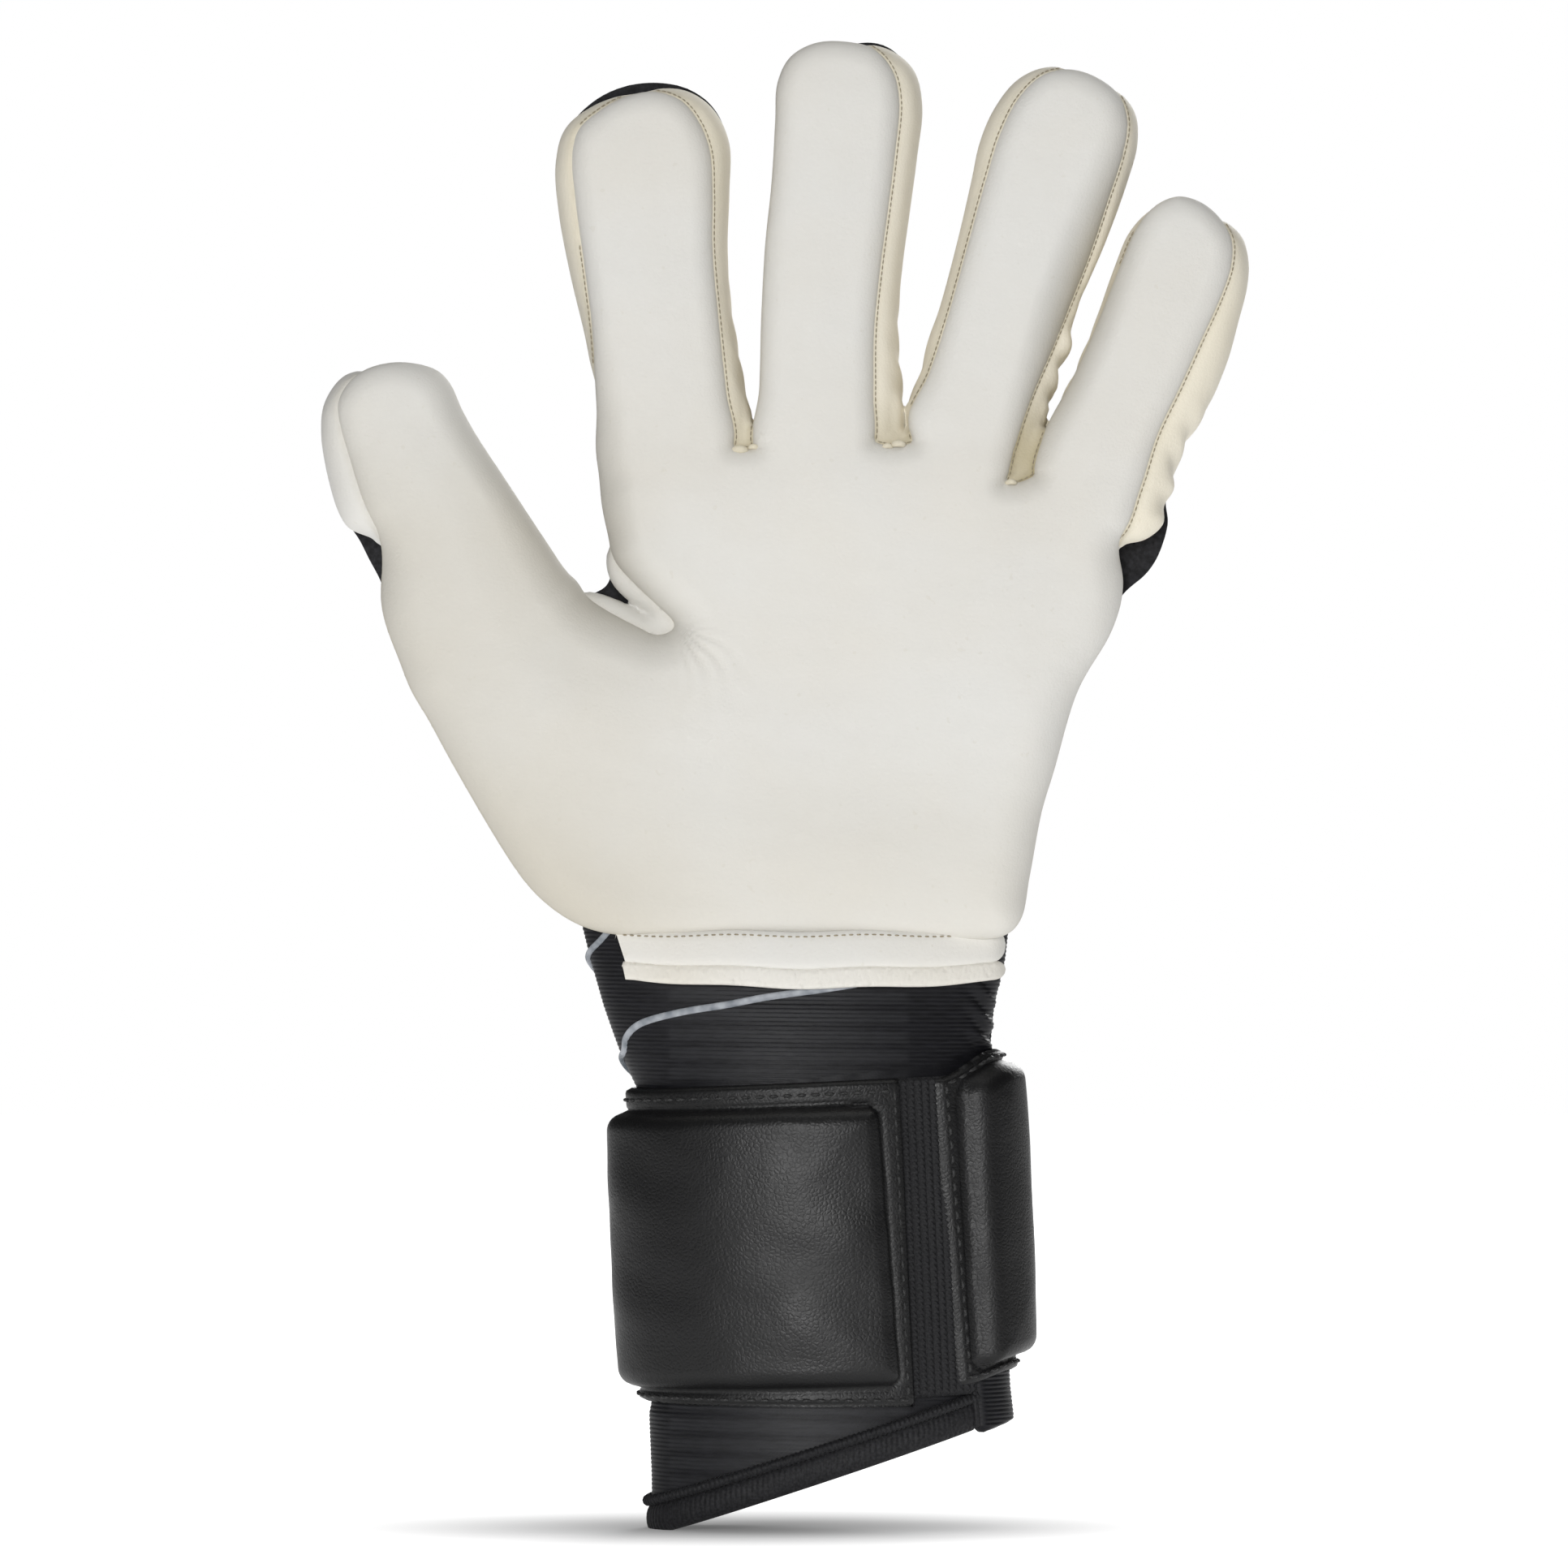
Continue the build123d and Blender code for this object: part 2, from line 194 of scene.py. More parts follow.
class Footprint:
    """Distance inside a group of overlapping outlines, kept on a grid."""

    LOW = (-122.0, 96.0)
    HIGH = (102.0, 326.0)
    CALM_REACH = 3.2

    def __init__(self, curves: Sequence[np.ndarray], calm: Sequence[Hump],
                 spacing: float = 1.0) -> None:
        """Measure the joined outlines.

        Args:
            curves: closed curves, each a row of points.
            calm: ovals where corners between the outlines are smoothed away.
            spacing: distance between grid points.
        """
        self.spacing = spacing
        xs = np.arange(self.LOW[0], self.HIGH[0], spacing)
        zs = np.arange(self.LOW[1], self.HIGH[1], spacing)
        grid_x, grid_z = (g.ravel() for g in np.meshgrid(xs, zs, indexing="ij"))
        self.edges = self._outer_edges(curves)
        inside = np.zeros(grid_x.shape, bool)
        for curve in curves:
            inside |= self._within(curve, grid_x, grid_z)
        nearest = np.full(grid_x.shape, 1e9)
        for (ax, az), (bx, bz) in self.edges:
            dx, dz = bx - ax, bz - az
            px, pz = grid_x - ax, grid_z - az
            t = np.clip((px * dx + pz * dz) / (dx * dx + dz * dz + 1e-12), 0, 1)
            np.minimum(nearest, (px - t * dx) ** 2 + (pz - t * dz) ** 2, out=nearest)
        distance = np.sqrt(nearest) * np.where(inside, 1.0, -1.0)
        sharp = distance.reshape(len(xs), len(zs))
        share = sum(oval.at(grid_x, grid_z) for oval in calm).reshape(sharp.shape)
        soft = self._soften(sharp, self.CALM_REACH / spacing)
        self.grid = sharp + np.clip(share, 0, 1) * (soft - sharp)

    @staticmethod
    def _soften(block: np.ndarray, reach: float) -> np.ndarray:
        """Average a block of numbers with its neighbours."""
        steps = np.arange(-int(3 * reach), int(3 * reach) + 1)
        weight = np.exp(-((steps / reach) ** 2) / 2)
        weight /= weight.sum()
        for axis in (0, 1):
            pad = [(len(steps) // 2,) * 2 if n == axis else (0, 0) for n in (0, 1)]
            wide = np.pad(block, pad, mode="edge")
            block = sum(w * np.take(wide, np.arange(block.shape[axis]) + n, axis)
                        for n, w in enumerate(weight))
        return block

    @staticmethod
    def _within(curve: np.ndarray, x: np.ndarray, z: np.ndarray) -> np.ndarray:
        """Say which points lie within one closed curve."""
        inside = np.zeros(x.shape, bool)
        for (ax, az), (bx, bz) in zip(curve, np.roll(curve, -1, 0)):
            if az != bz:
                crosses = (az > z) != (bz > z)
                inside ^= crosses & (x < (bx - ax) * (z - az) / (bz - az) + ax)
        return inside

    def _outer_edges(self, curves: Sequence[np.ndarray]) -> np.ndarray:
        """Keep the edges that no other curve covers."""
        kept = []
        for number, curve in enumerate(curves):
            after = np.roll(curve, -1, 0)
            middle = (curve + after) / 2
            free = np.ones(len(curve), bool)
            for other, cover in enumerate(curves):
                if other != number:
                    free &= ~self._within(cover, middle[:, 0], middle[:, 1])
            kept.append(np.stack([curve[free], after[free]], 1))
        return np.vstack(kept)

    def at(self, x: np.ndarray, z: np.ndarray) -> np.ndarray:
        """Distance inside the outlines, smoothed by a quadratic spline.

        Args:
            x: first coordinate.
            z: second coordinate.

        Returns:
            Positive inside and negative outside.
        """
        u, v = (x - self.LOW[0]) / self.spacing, (z - self.LOW[1]) / self.spacing
        i = np.clip(np.rint(u).astype(int), 1, self.grid.shape[0] - 2)
        j = np.clip(np.rint(v).astype(int), 1, self.grid.shape[1] - 2)
        fu, fv = np.clip(u - i, -0.5, 0.5), np.clip(v - j, -0.5, 0.5)
        wu = (0.5 * (0.5 - fu) ** 2, 0.75 - fu**2, 0.5 * (0.5 + fu) ** 2)
        wv = (0.5 * (0.5 - fv) ** 2, 0.75 - fv**2, 0.5 * (0.5 + fv) ** 2)
        return sum(wu[a] * wv[b] * self.grid[i + a - 1, j + b - 1]
                   for a in range(3) for b in range(3))


# ---------------------------------------------------------------- meshes


@dataclass
class Skin:
    """Points, faces and point normals of a surface, in millimetres."""

    points: np.ndarray
    faces: np.ndarray
    normals: np.ndarray | None = None

    def part(self, chosen: np.ndarray) -> "Skin":
        """Keep some of the faces, with only the points they use."""
        faces = self.faces[chosen]
        used, flat = np.unique(faces, return_inverse=True)
        normals = None if self.normals is None else self.normals[used]
        return Skin(self.points[used], flat.reshape(faces.shape), normals)

    def middles(self) -> np.ndarray:
        """Middle of each face."""
        return self.points[self.faces].mean(1)


def join(skins: Sequence[Skin]) -> Skin:
    """Put several quad surfaces into one."""
    start, points, faces = 0, [], []
    for skin in skins:
        points.append(skin.points)
        faces.append(skin.faces + start)
        start += len(skin.points)
    return Skin(np.vstack(points), np.vstack(faces))


def slope(field: Field, points: np.ndarray, reach: float = 0.25) -> np.ndarray:
    """Measure the slope of a field at points.

    Args:
        field: function of x, y and z.
        points: where to measure.
        reach: half the distance between the two readings.

    Returns:
        One slope vector a point.
    """
    columns = []
    for axis in range(3):
        shift = np.zeros(3)
        shift[axis] = reach
        ahead, behind = points + shift, points - shift
        columns.append((field(*ahead.T) - field(*behind.T)) / (2 * reach))
    return np.stack(columns, 1)


def net_surface(field: Field, low: Sequence[float], high: Sequence[float],
                cell: float = CELL) -> Skin:
    """Cover the place where a field is zero with a net of quads.

    Args:
        field: function of x, y and z that is negative inside.
        low: lowest corner of the searched box.
        high: highest corner of the searched box.
        cell: size of a quad.

    Returns:
        The surface, with normals from the field.
    """
    axes = [np.arange(a, b + cell, cell) for a, b in zip(low, high)]
    value = field(axes[0][:, None, None], axes[1][None, :, None], axes[2][None, None, :])
    value = np.broadcast_to(value, [len(a) for a in axes])
    inside = value < 0
    corners = [(a, b, c) for a in (0, 1) for b in (0, 1) for c in (0, 1)]
    shape = [n - 1 for n in inside.shape]

    def corner(block: np.ndarray, at: tuple[int, int, int]) -> np.ndarray:
        """Slice of a block that holds one corner of every cell."""
        return block[tuple(slice(o, o + n) for o, n in zip(at, shape))]

    count = sum(corner(inside, at).astype(np.int8) for at in corners)
    cells = np.argwhere((count > 0) & (count < 8))
    number = np.full(shape, -1)
    number[tuple(cells.T)] = np.arange(len(cells))
    total, hits = np.zeros((len(cells), 3)), np.zeros(len(cells))
    for a in corners:
        for axis in range(3):
            if a[axis]:
                continue
            b = tuple(1 if n == axis else o for n, o in enumerate(a))
            va = value[tuple((cells + a).T)]
            vb = value[tuple((cells + b).T)]
            cut = (va < 0) != (vb < 0)
            share = np.where(cut, va / np.where(cut, va - vb, 1), 0)
            spot = np.array(a, float) + share[:, None] * (np.array(b) - np.array(a))
            total += np.where(cut[:, None], spot, 0)
            hits += cut
    points = np.array([a[0] for a in axes]) + (cells + total / hits[:, None]) * cell
    faces = []
    for axis in range(3):
        first, second = [n for n in range(3) if n != axis]
        body = [slice(1, n - 1) for n in inside.shape]
        body[axis] = slice(0, inside.shape[axis] - 1)
        ahead = list(body)
        ahead[axis] = slice(1, inside.shape[axis])
        start, end = inside[tuple(body)], inside[tuple(ahead)]
        spots = np.argwhere(start != end) + [s.start for s in body]
        turned = start[start != end]
        ring = []
        for da, db in ((1, 1), (0, 1), (0, 0), (1, 0)):
            at = spots.copy()
            at[:, first] -= da
            at[:, second] -= db
            ring.append(number[tuple(at.T)])
        quads = np.stack(ring, 1)
        flip = turned if axis != 1 else ~turned
        quads[~flip] = quads[~flip][:, ::-1]
        faces.append(quads)
    faces = np.vstack(faces)
    faces = faces[(faces >= 0).all(1)]
    for _ in range(3):
        along = slope(field, points)
        size = np.maximum((along**2).sum(1), 0.05)
        move = -field(*points.T)[:, None] * along / size[:, None]
        length = np.linalg.norm(move, axis=1, keepdims=True)
        points = points + move * np.minimum(1, 0.5 * cell / np.maximum(length, 1e-9))
    along = slope(field, points)
    return Skin(points, faces, along / np.maximum(np.linalg.norm(along, axis=1), 1e-9)[:, None])


def grid_skin(points: np.ndarray, closed_u: bool = False, closed_v: bool = False) -> Skin:
    """Turn a block of points into quads.

    Args:
        points: block of u rows by v columns of points.
        closed_u: join the last row to the first.
        closed_v: join the last column to the first.

    Returns:
        The surface.
    """
    rows, columns = points.shape[:2]
    index = np.arange(rows * columns).reshape(rows, columns)
    index = np.vstack([index, index[:1]]) if closed_u else index
    index = np.hstack([index, index[:, :1]]) if closed_v else index
    quads = np.stack([index[:-1, :-1], index[1:, :-1], index[1:, 1:], index[:-1, 1:]], -1)
    return Skin(points.reshape(-1, 3), quads.reshape(-1, 4))


def tube(path: np.ndarray, radius: np.ndarray | float, sides: int = 8,
         flat: float = 1.0, up: Sequence[float] = (0, 1, 0), closed: bool = False) -> Skin:
    """Run a round or oval section along a path.

    Args:
        path: points along the middle.
        radius: half the width of the section, one number or one a point.
        sides: points round the section.
        flat: thickness of the section as a share of its width.
        up: direction of the thin side.
        closed: join the end to the start.

    Returns:
        The surface, with rounded off ends when it is open.
    """
    radius = np.broadcast_to(radius, len(path)).astype(float)
    if closed:
        ahead = np.roll(path, -1, 0) - np.roll(path, 1, 0)
    else:
        ahead = np.gradient(path, axis=0)
        radius = radius.copy()
        radius[0], radius[-1] = radius[0] * 0.25, radius[-1] * 0.25
    ahead = ahead / np.maximum(np.linalg.norm(ahead, axis=1, keepdims=True), 1e-9)
    lift = np.broadcast_to(np.array(up, float), path.shape)
    side = np.cross(ahead, lift)
    side = side / np.maximum(np.linalg.norm(side, axis=1, keepdims=True), 1e-9)
    lift = np.cross(side, ahead)
    turn = np.linspace(0, 2 * np.pi, sides, endpoint=False)
    ring = (path[:, None] + radius[:, None, None] * (np.cos(turn)[None, :, None] * side[:, None]
            + flat * np.sin(turn)[None, :, None] * lift[:, None]))
    return grid_skin(ring, closed_u=closed, closed_v=True)


def make_piece(name: str, skin: Skin, finish: "bpy.types.Material",
               tint: np.ndarray | None = None) -> bpy.types.Object:
    """Turn a surface into a named piece with its finish.

    Args:
        name: name of the piece.
        skin: the surface, in millimetres.
        finish: its material.
        tint: how far each point is mixed towards its finish's painted shade colour (seams,
            crotches, palm edges) or, on the knit, towards its lighter stripe colour, from 0 to 1.

    Returns:
        The new object, in metres.
    """
    mesh = bpy.data.meshes.new(name)
    mesh.vertices.add(len(skin.points))
    mesh.vertices.foreach_set("co", (skin.points * MM).ravel())
    count = len(skin.faces)
    mesh.loops.add(count * 4)
    mesh.loops.foreach_set("vertex_index", skin.faces.ravel())
    mesh.polygons.add(count)
    mesh.polygons.foreach_set("loop_start", np.arange(0, count * 4, 4))
    mesh.polygons.foreach_set("use_smooth", np.ones(count, bool))
    mesh.update(calc_edges=True)
    if tint is not None:
        layer = mesh.attributes.new("tint", "FLOAT", "POINT")
        layer.data.foreach_set("value", tint.astype(np.float32))
    if skin.normals is not None:
        mesh.normals_split_custom_set_from_vertices(skin.normals)
    mesh.materials.append(finish)
    piece = bpy.data.objects.new(name, mesh)
    bpy.context.scene.collection.objects.link(piece)
    LOG.info("%s: %d faces", name, count)
    return piece


# ---------------------------------------------------------------- finishes


@dataclass(frozen=True)
class NodeBench:
    """Small helper that wires the shader nodes of a material or of the surroundings."""

    owner: bpy.types.Material | bpy.types.World

    def link(self, source: bpy.types.NodeSocket, target: bpy.types.NodeSocket) -> None:
        """Link one socket to another."""
        self.owner.node_tree.links.new(source, target)

    def add(self, kind: str, links: dict | None = None, **values: object) -> bpy.types.Node:
        """Add a node, set its inputs and link others to it.

        Args:
            kind: node type, without its ShaderNode prefix.
            links: sockets to link, by input name or number.
            values: attributes of the node, or "in_" and an input's number for a plain value.

        Returns:
            The new node.
        """
        node = self.owner.node_tree.nodes.new(f"ShaderNode{kind}")
        for key, value in values.items():
            if key.startswith("in_"):
                node.inputs[int(key[3:])].default_value = value
            else:
                setattr(node, key, value)
        for socket, source in (links or {}).items():
            self.link(source, node.inputs[socket])
        return node

    def noise(self, scale: float, detail: float = 2.0, stretch: tuple = (1, 1, 1)
              ) -> bpy.types.NodeSocket:
        """Noise in object space.

        Args:
            scale: waves a metre.
            detail: how many finer layers it has.
            stretch: scale along each axis.

        Returns:
            The noise value socket.
        """
        spot = self.add("TexCoord").outputs["Object"]
        if stretch != (1, 1, 1):
            spot = self.add("Mapping", {0: spot}, in_3=stretch).outputs[0]
        node = self.add("TexNoise", {"Vector": spot})
        node.inputs["Scale"].default_value = scale
        node.inputs["Detail"].default_value = detail
        return node.outputs[0]

    def ramp(self, source: bpy.types.NodeSocket, low: float, high: float,
             dark: tuple, light: tuple) -> bpy.types.NodeSocket:
        """Map a value to a colour between two tints.

        Args:
            source: the value.
            low: value that gives the first tint.
            high: value that gives the second tint.
            dark: first tint.
            light: second tint.

        Returns:
            The colour socket.
        """
        node = self.add("ValToRGB", {0: source})
        node.color_ramp.elements[0].position = low
        node.color_ramp.elements[0].color = (*dark, 1)
        node.color_ramp.elements[1].position = high
        node.color_ramp.elements[1].color = (*light, 1)
        return node.outputs[0]

    def mix(self, share: bpy.types.NodeSocket | float, first: object, second: object,
            how: str = "MIX") -> bpy.types.NodeSocket:
        """Mix two colours.

        Args:
            share: how much of the second, a socket or a number.
            first: first colour, a socket or a tint.
            second: second colour, a socket or a tint.
            how: blend mode.

        Returns:
            The mixed colour socket.
        """
        node = self.add("Mix", data_type="RGBA", blend_type=how)
        for number, value in ((0, share), (6, first), (7, second)):
            if isinstance(value, bpy.types.NodeSocket):
                self.link(value, node.inputs[number])
            elif number:
                node.inputs[number].default_value = (*value, 1)
            else:
                node.inputs[number].default_value = value
        return node.outputs[2]

    def bump(self, height: bpy.types.NodeSocket, strength: float, depth: float,
             under: bpy.types.NodeSocket | None = None) -> bpy.types.NodeSocket:
        """Raise a surface by a height.

        Args:
            height: the height, from 0 to 1.
            strength: share of the full effect.
            depth: real height of 1, in metres.
            under: normal that it adds to.

        Returns:
            The normal socket.
        """
        links = {"Height": height} if under is None else {"Height": height, "Normal": under}
        node = self.add("Bump", links)
        node.inputs["Strength"].default_value = strength
        node.inputs["Distance"].default_value = depth
        return node.outputs[0]


def new_finish(name: str, roughness: float, specular: float = 0.5
               ) -> tuple[NodeBench, bpy.types.Node]:
    """Start a material.

    Args:
        name: name of the material.
        roughness: how dull it is.
        specular: strength of its highlights.

    Returns:
        The node bench and the surface shader.
    """
    material = bpy.data.materials.new(name)
    material.use_nodes = True
    shader = material.node_tree.nodes["Principled BSDF"]
    shader.inputs["Roughness"].default_value = roughness
    shader.inputs["Specular IOR Level"].default_value = specular
    return NodeBench(material), shader


@dataclass(frozen=True)
class LatexFinish:
    """Matt foam latex: pale, faintly mottled, with fine pores, mixed towards a painted shade colour
    where the tint attribute says.
    """

    name: str
    tint: tuple
    warm: tuple
    # seam: colour of the painted shade mixed in along seams, in crotches and on the palm's edges
    seam: tuple
    roughness: float = 0.72

    def make(self) -> bpy.types.Material:
        """Build the material."""
        bench, shader = new_finish(self.name, self.roughness, 0.3)
        cloud = bench.noise(26, 3)
        base = bench.ramp(cloud, 0.36, 0.68, self.tint, self.warm)
        speck = bench.ramp(bench.noise(520, 1), 0.73, 0.77, (1, 1, 1), (0.88, 0.86, 0.8))
        base = bench.mix(0.3, base, speck, "MULTIPLY")
        # painted shade: the tint attribute mixes the base towards the seam colour in creases and at
        # edges
        painted_shade_and_knit_stripes = bench.add("Attribute", attribute_name="tint").outputs["Fac"]
        base = bench.mix(painted_shade_and_knit_stripes, base, self.seam)
        bench.link(base, shader.inputs["Base Color"])
        pores = bench.bump(bench.noise(1500, 2), 0.35, 0.00025)
        dimples = bench.bump(bench.noise(260, 2), 0.25, 0.0005, pores)
        bench.link(dimples, shader.inputs["Normal"])
        shader.inputs["Sheen Weight"].default_value = 0.08
        shader.inputs["Sheen Roughness"].default_value = 0.6
        return bench.owner


@dataclass(frozen=True)
class ClothFinish:
    """Dark or pale fabric with a fine woven or knitted surface."""

    name: str
    dark: tuple
    light: tuple
    roughness: float
    pitch: float
    depth: float
    stretch: tuple = (1, 1, 1)
    sheen: float = 0.03

    def make(self) -> bpy.types.Material:
        """Build the material."""
        bench, shader = new_finish(self.name, self.roughness, 0.2)
        threads = bench.noise(1 / self.pitch, 2, self.stretch)
        base = bench.ramp(threads, 0.34, 0.7, self.dark, self.light)
        patch = bench.ramp(bench.noise(40, 2), 0.3, 0.7, (0.82, 0.82, 0.84), (1, 1, 1))
        base = bench.mix(1.0, base, patch, "MULTIPLY")
        # on cloth the tint attribute only lays the knit's lighter stripes; no other cloth piece
        # carries it
        painted_shade_and_knit_stripes = bench.add("Attribute", attribute_name="tint").outputs["Fac"]
        base = bench.mix(painted_shade_and_knit_stripes, base, (0.36, 0.37, 0.39))
        bench.link(base, shader.inputs["Base Color"])
        weave = bench.bump(threads, 0.6, self.depth)
        fine = bench.bump(bench.noise(2.6 / self.pitch, 1), 0.4, self.depth * 0.5, weave)
        bench.link(fine, shader.inputs["Normal"])
        shader.inputs["Sheen Weight"].default_value = self.sheen
        shader.inputs["Sheen Roughness"].default_value = 0.5
        return bench.owner


@dataclass(frozen=True)
class LeatherFinish:
    """Black coated leather with a fine pebbled grain and a soft shine."""

    name: str
    tint: tuple = (0.0036, 0.0036, 0.0038)
    roughness: float = 0.42

    def make(self) -> bpy.types.Material:
        """Build the material."""
        bench, shader = new_finish(self.name, self.roughness, 0.32)
        cloud = bench.ramp(bench.noise(30, 3), 0.3, 0.72, self.tint, (0.006, 0.006, 0.0064))
        bench.link(cloud, shader.inputs["Base Color"])
        spot = bench.add("TexCoord").outputs["Object"]
        pebble = bench.add("TexVoronoi", {"Vector": spot}, feature="DISTANCE_TO_EDGE")
        pebble.inputs["Scale"].default_value = 1000
        rise = bench.ramp(pebble.outputs[0], 0.0, 0.3, (0, 0, 0), (1, 1, 1))
        grain = bench.bump(rise, 0.42, 0.00008)
        waves = bench.bump(bench.noise(180, 3), 0.2, 0.0006, grain)
        bench.link(waves, shader.inputs["Normal"])
        dull = bench.ramp(bench.noise(90, 3), 0.3, 0.7, (0.40,) * 3, (0.48,) * 3)
        bench.link(dull, shader.inputs["Roughness"])
        return bench.owner


@dataclass(frozen=True)
class Finishes:
    """Every finish of the glove, made once."""

    palm: bpy.types.Material
    gusset: bpy.types.Material
    edge: bpy.types.Material
    back: bpy.types.Material
    foam: bpy.types.Material
    knit: bpy.types.Material
    stripe: bpy.types.Material
    binding: bpy.types.Material
    elastic: bpy.types.Material
    leather: bpy.types.Material
    thread: bpy.types.Material
    seam_thread: bpy.types.Material
    lining: bpy.types.Material
    closure: bpy.types.Material

    @classmethod
    def make(cls) -> "Finishes":
        """Build all the materials."""
        return cls(
            # the third colour of each latex finish is the painted shade colour that its tint
            # attribute mixes in
            palm=LatexFinish("palm_latex_finish", (0.72, 0.71, 0.675), (0.71, 0.69, 0.64),
                             (0.50, 0.46, 0.37)).make(),
            gusset=LatexFinish("gusset_latex_finish", (0.84, 0.79, 0.67), (0.81, 0.755, 0.62),
                               (0.42, 0.36, 0.22)).make(),
            edge=LatexFinish("raw_edge_finish", (0.76, 0.74, 0.69), (0.70, 0.67, 0.60),
                             (0.5, 0.45, 0.35), 0.9).make(),
            back=ClothFinish("back_textile_finish", (0.007, 0.007, 0.008), (0.022, 0.022, 0.025),
                             0.72, 0.0011, 0.00018).make(),
            foam=ClothFinish("back_foam_finish", (0.008, 0.008, 0.009), (0.02, 0.02, 0.022),
                             0.6, 0.0008, 0.00012).make(),
            knit=ClothFinish("cuff_knit_finish", (0.0042, 0.0042, 0.0054), (0.0095, 0.0095, 0.012),
                             0.5, 0.0011, 0.0001, (0.3, 0.3, 2.0), 0.0).make(),
            stripe=ClothFinish("grey_stripe_finish", (0.16, 0.18, 0.20), (0.42, 0.44, 0.47),
                               0.45, 0.0035, 0.00008, sheen=0.0).make(),
            binding=ClothFinish("cuff_binding_finish", (0.006, 0.006, 0.007),
                                (0.02, 0.02, 0.022), 0.62, 0.0006, 0.0001).make(),
            elastic=ClothFinish("strap_elastic_finish", (0.006, 0.006, 0.007),
                                (0.016, 0.016, 0.0175), 0.6, 0.0005, 0.0001).make(),
            leather=LeatherFinish("strap_leather_finish").make(),
            thread=ClothFinish("black_thread_finish", (0.012, 0.012, 0.012), (0.05, 0.05, 0.05),
                               0.45, 0.0003, 0.00005).make(),
            seam_thread=ClothFinish("seam_thread_finish", (0.27, 0.23, 0.15), (0.42, 0.37, 0.27),
                                    0.8, 0.0003, 0.00005).make(),
            lining=ClothFinish("lining_finish", (0.30, 0.30, 0.30), (0.46, 0.46, 0.46),
                               0.9, 0.0009, 0.0002).make(),
            closure=ClothFinish("hook_and_loop_finish", (0.006, 0.006, 0.007),
                                (0.03, 0.03, 0.032), 0.95, 0.0007, 0.0005, sheen=0.4).make(),
        )


# ---------------------------------------------------------------- digits and hand


@dataclass(frozen=True)
class Digit:
    """A finger or the thumb, drawn about its base hinge in its own leaning frame."""

    name: str
    root: tuple[float, float]
    hinge_lean: float
    lean: float
    middle: float
    pad: tuple[tuple[float, float], ...]
    side: tuple[tuple[float, float], ...]
    reach: float = 24.0

    def place(self, points: Sequence[tuple[float, float]]) -> list[tuple[float, float]]:
        """Move points from the digit's frame into the glove's.

        Args:
            points: (across, along) pairs.

        Returns:
            (x, z) pairs.
        """
        turn = np.radians(self.lean)
        return [(self.root[0] + w * np.cos(turn) + s * np.sin(turn),
                 self.root[1] - w * np.sin(turn) + s * np.cos(turn)) for w, s in points]

    def frame_of(self, x: np.ndarray, z: np.ndarray) -> tuple[np.ndarray, np.ndarray]:
        """Find where points lie in the digit's frame.

        Args:
            x: first coordinate.
            z: second coordinate.

        Returns:
            Distance across and along the digit.
        """
        turn = np.radians(self.lean)
        dx, dz = x - self.root[0], z - self.root[1]
        return dx * np.cos(turn) - dz * np.sin(turn), dx * np.sin(turn) + dz * np.cos(turn)

    def past_hinge(self, x: np.ndarray, z: np.ndarray) -> np.ndarray:
        """Distance of points beyond the base hinge line."""
        turn = np.radians(self.hinge_lean)
        return (x - self.root[0]) * np.sin(turn) + (z - self.root[1]) * np.cos(turn)

    def hinge(self, along: float) -> np.ndarray:
        """Pivot of the hinge that lies so far beyond the base hinge."""
        turn, skew = np.radians(self.hinge_lean), np.radians(self.lean - self.hinge_lean)
        across = along * np.tan(skew)
        return np.array([self.root[0] + along * np.sin(turn) + across * np.cos(turn), -12.0,
                         self.root[1] + along * np.cos(turn) - across * np.sin(turn)])

    def stretch(self, along: float, half: float) -> tuple[Vector, Vector]:
        """Ends of the fabric that bends at a hinge.

        Args:
            along: place of the hinge beyond the base hinge.
            half: half the length that bends.

        Returns:
            Start and end point, in metres.
        """
        turn = np.radians(self.hinge_lean)
        way = np.array([np.sin(turn), 0, np.cos(turn)]) * half
        middle = self.hinge(along)
        return Vector((middle - way) * MM), Vector((middle + way) * MM)


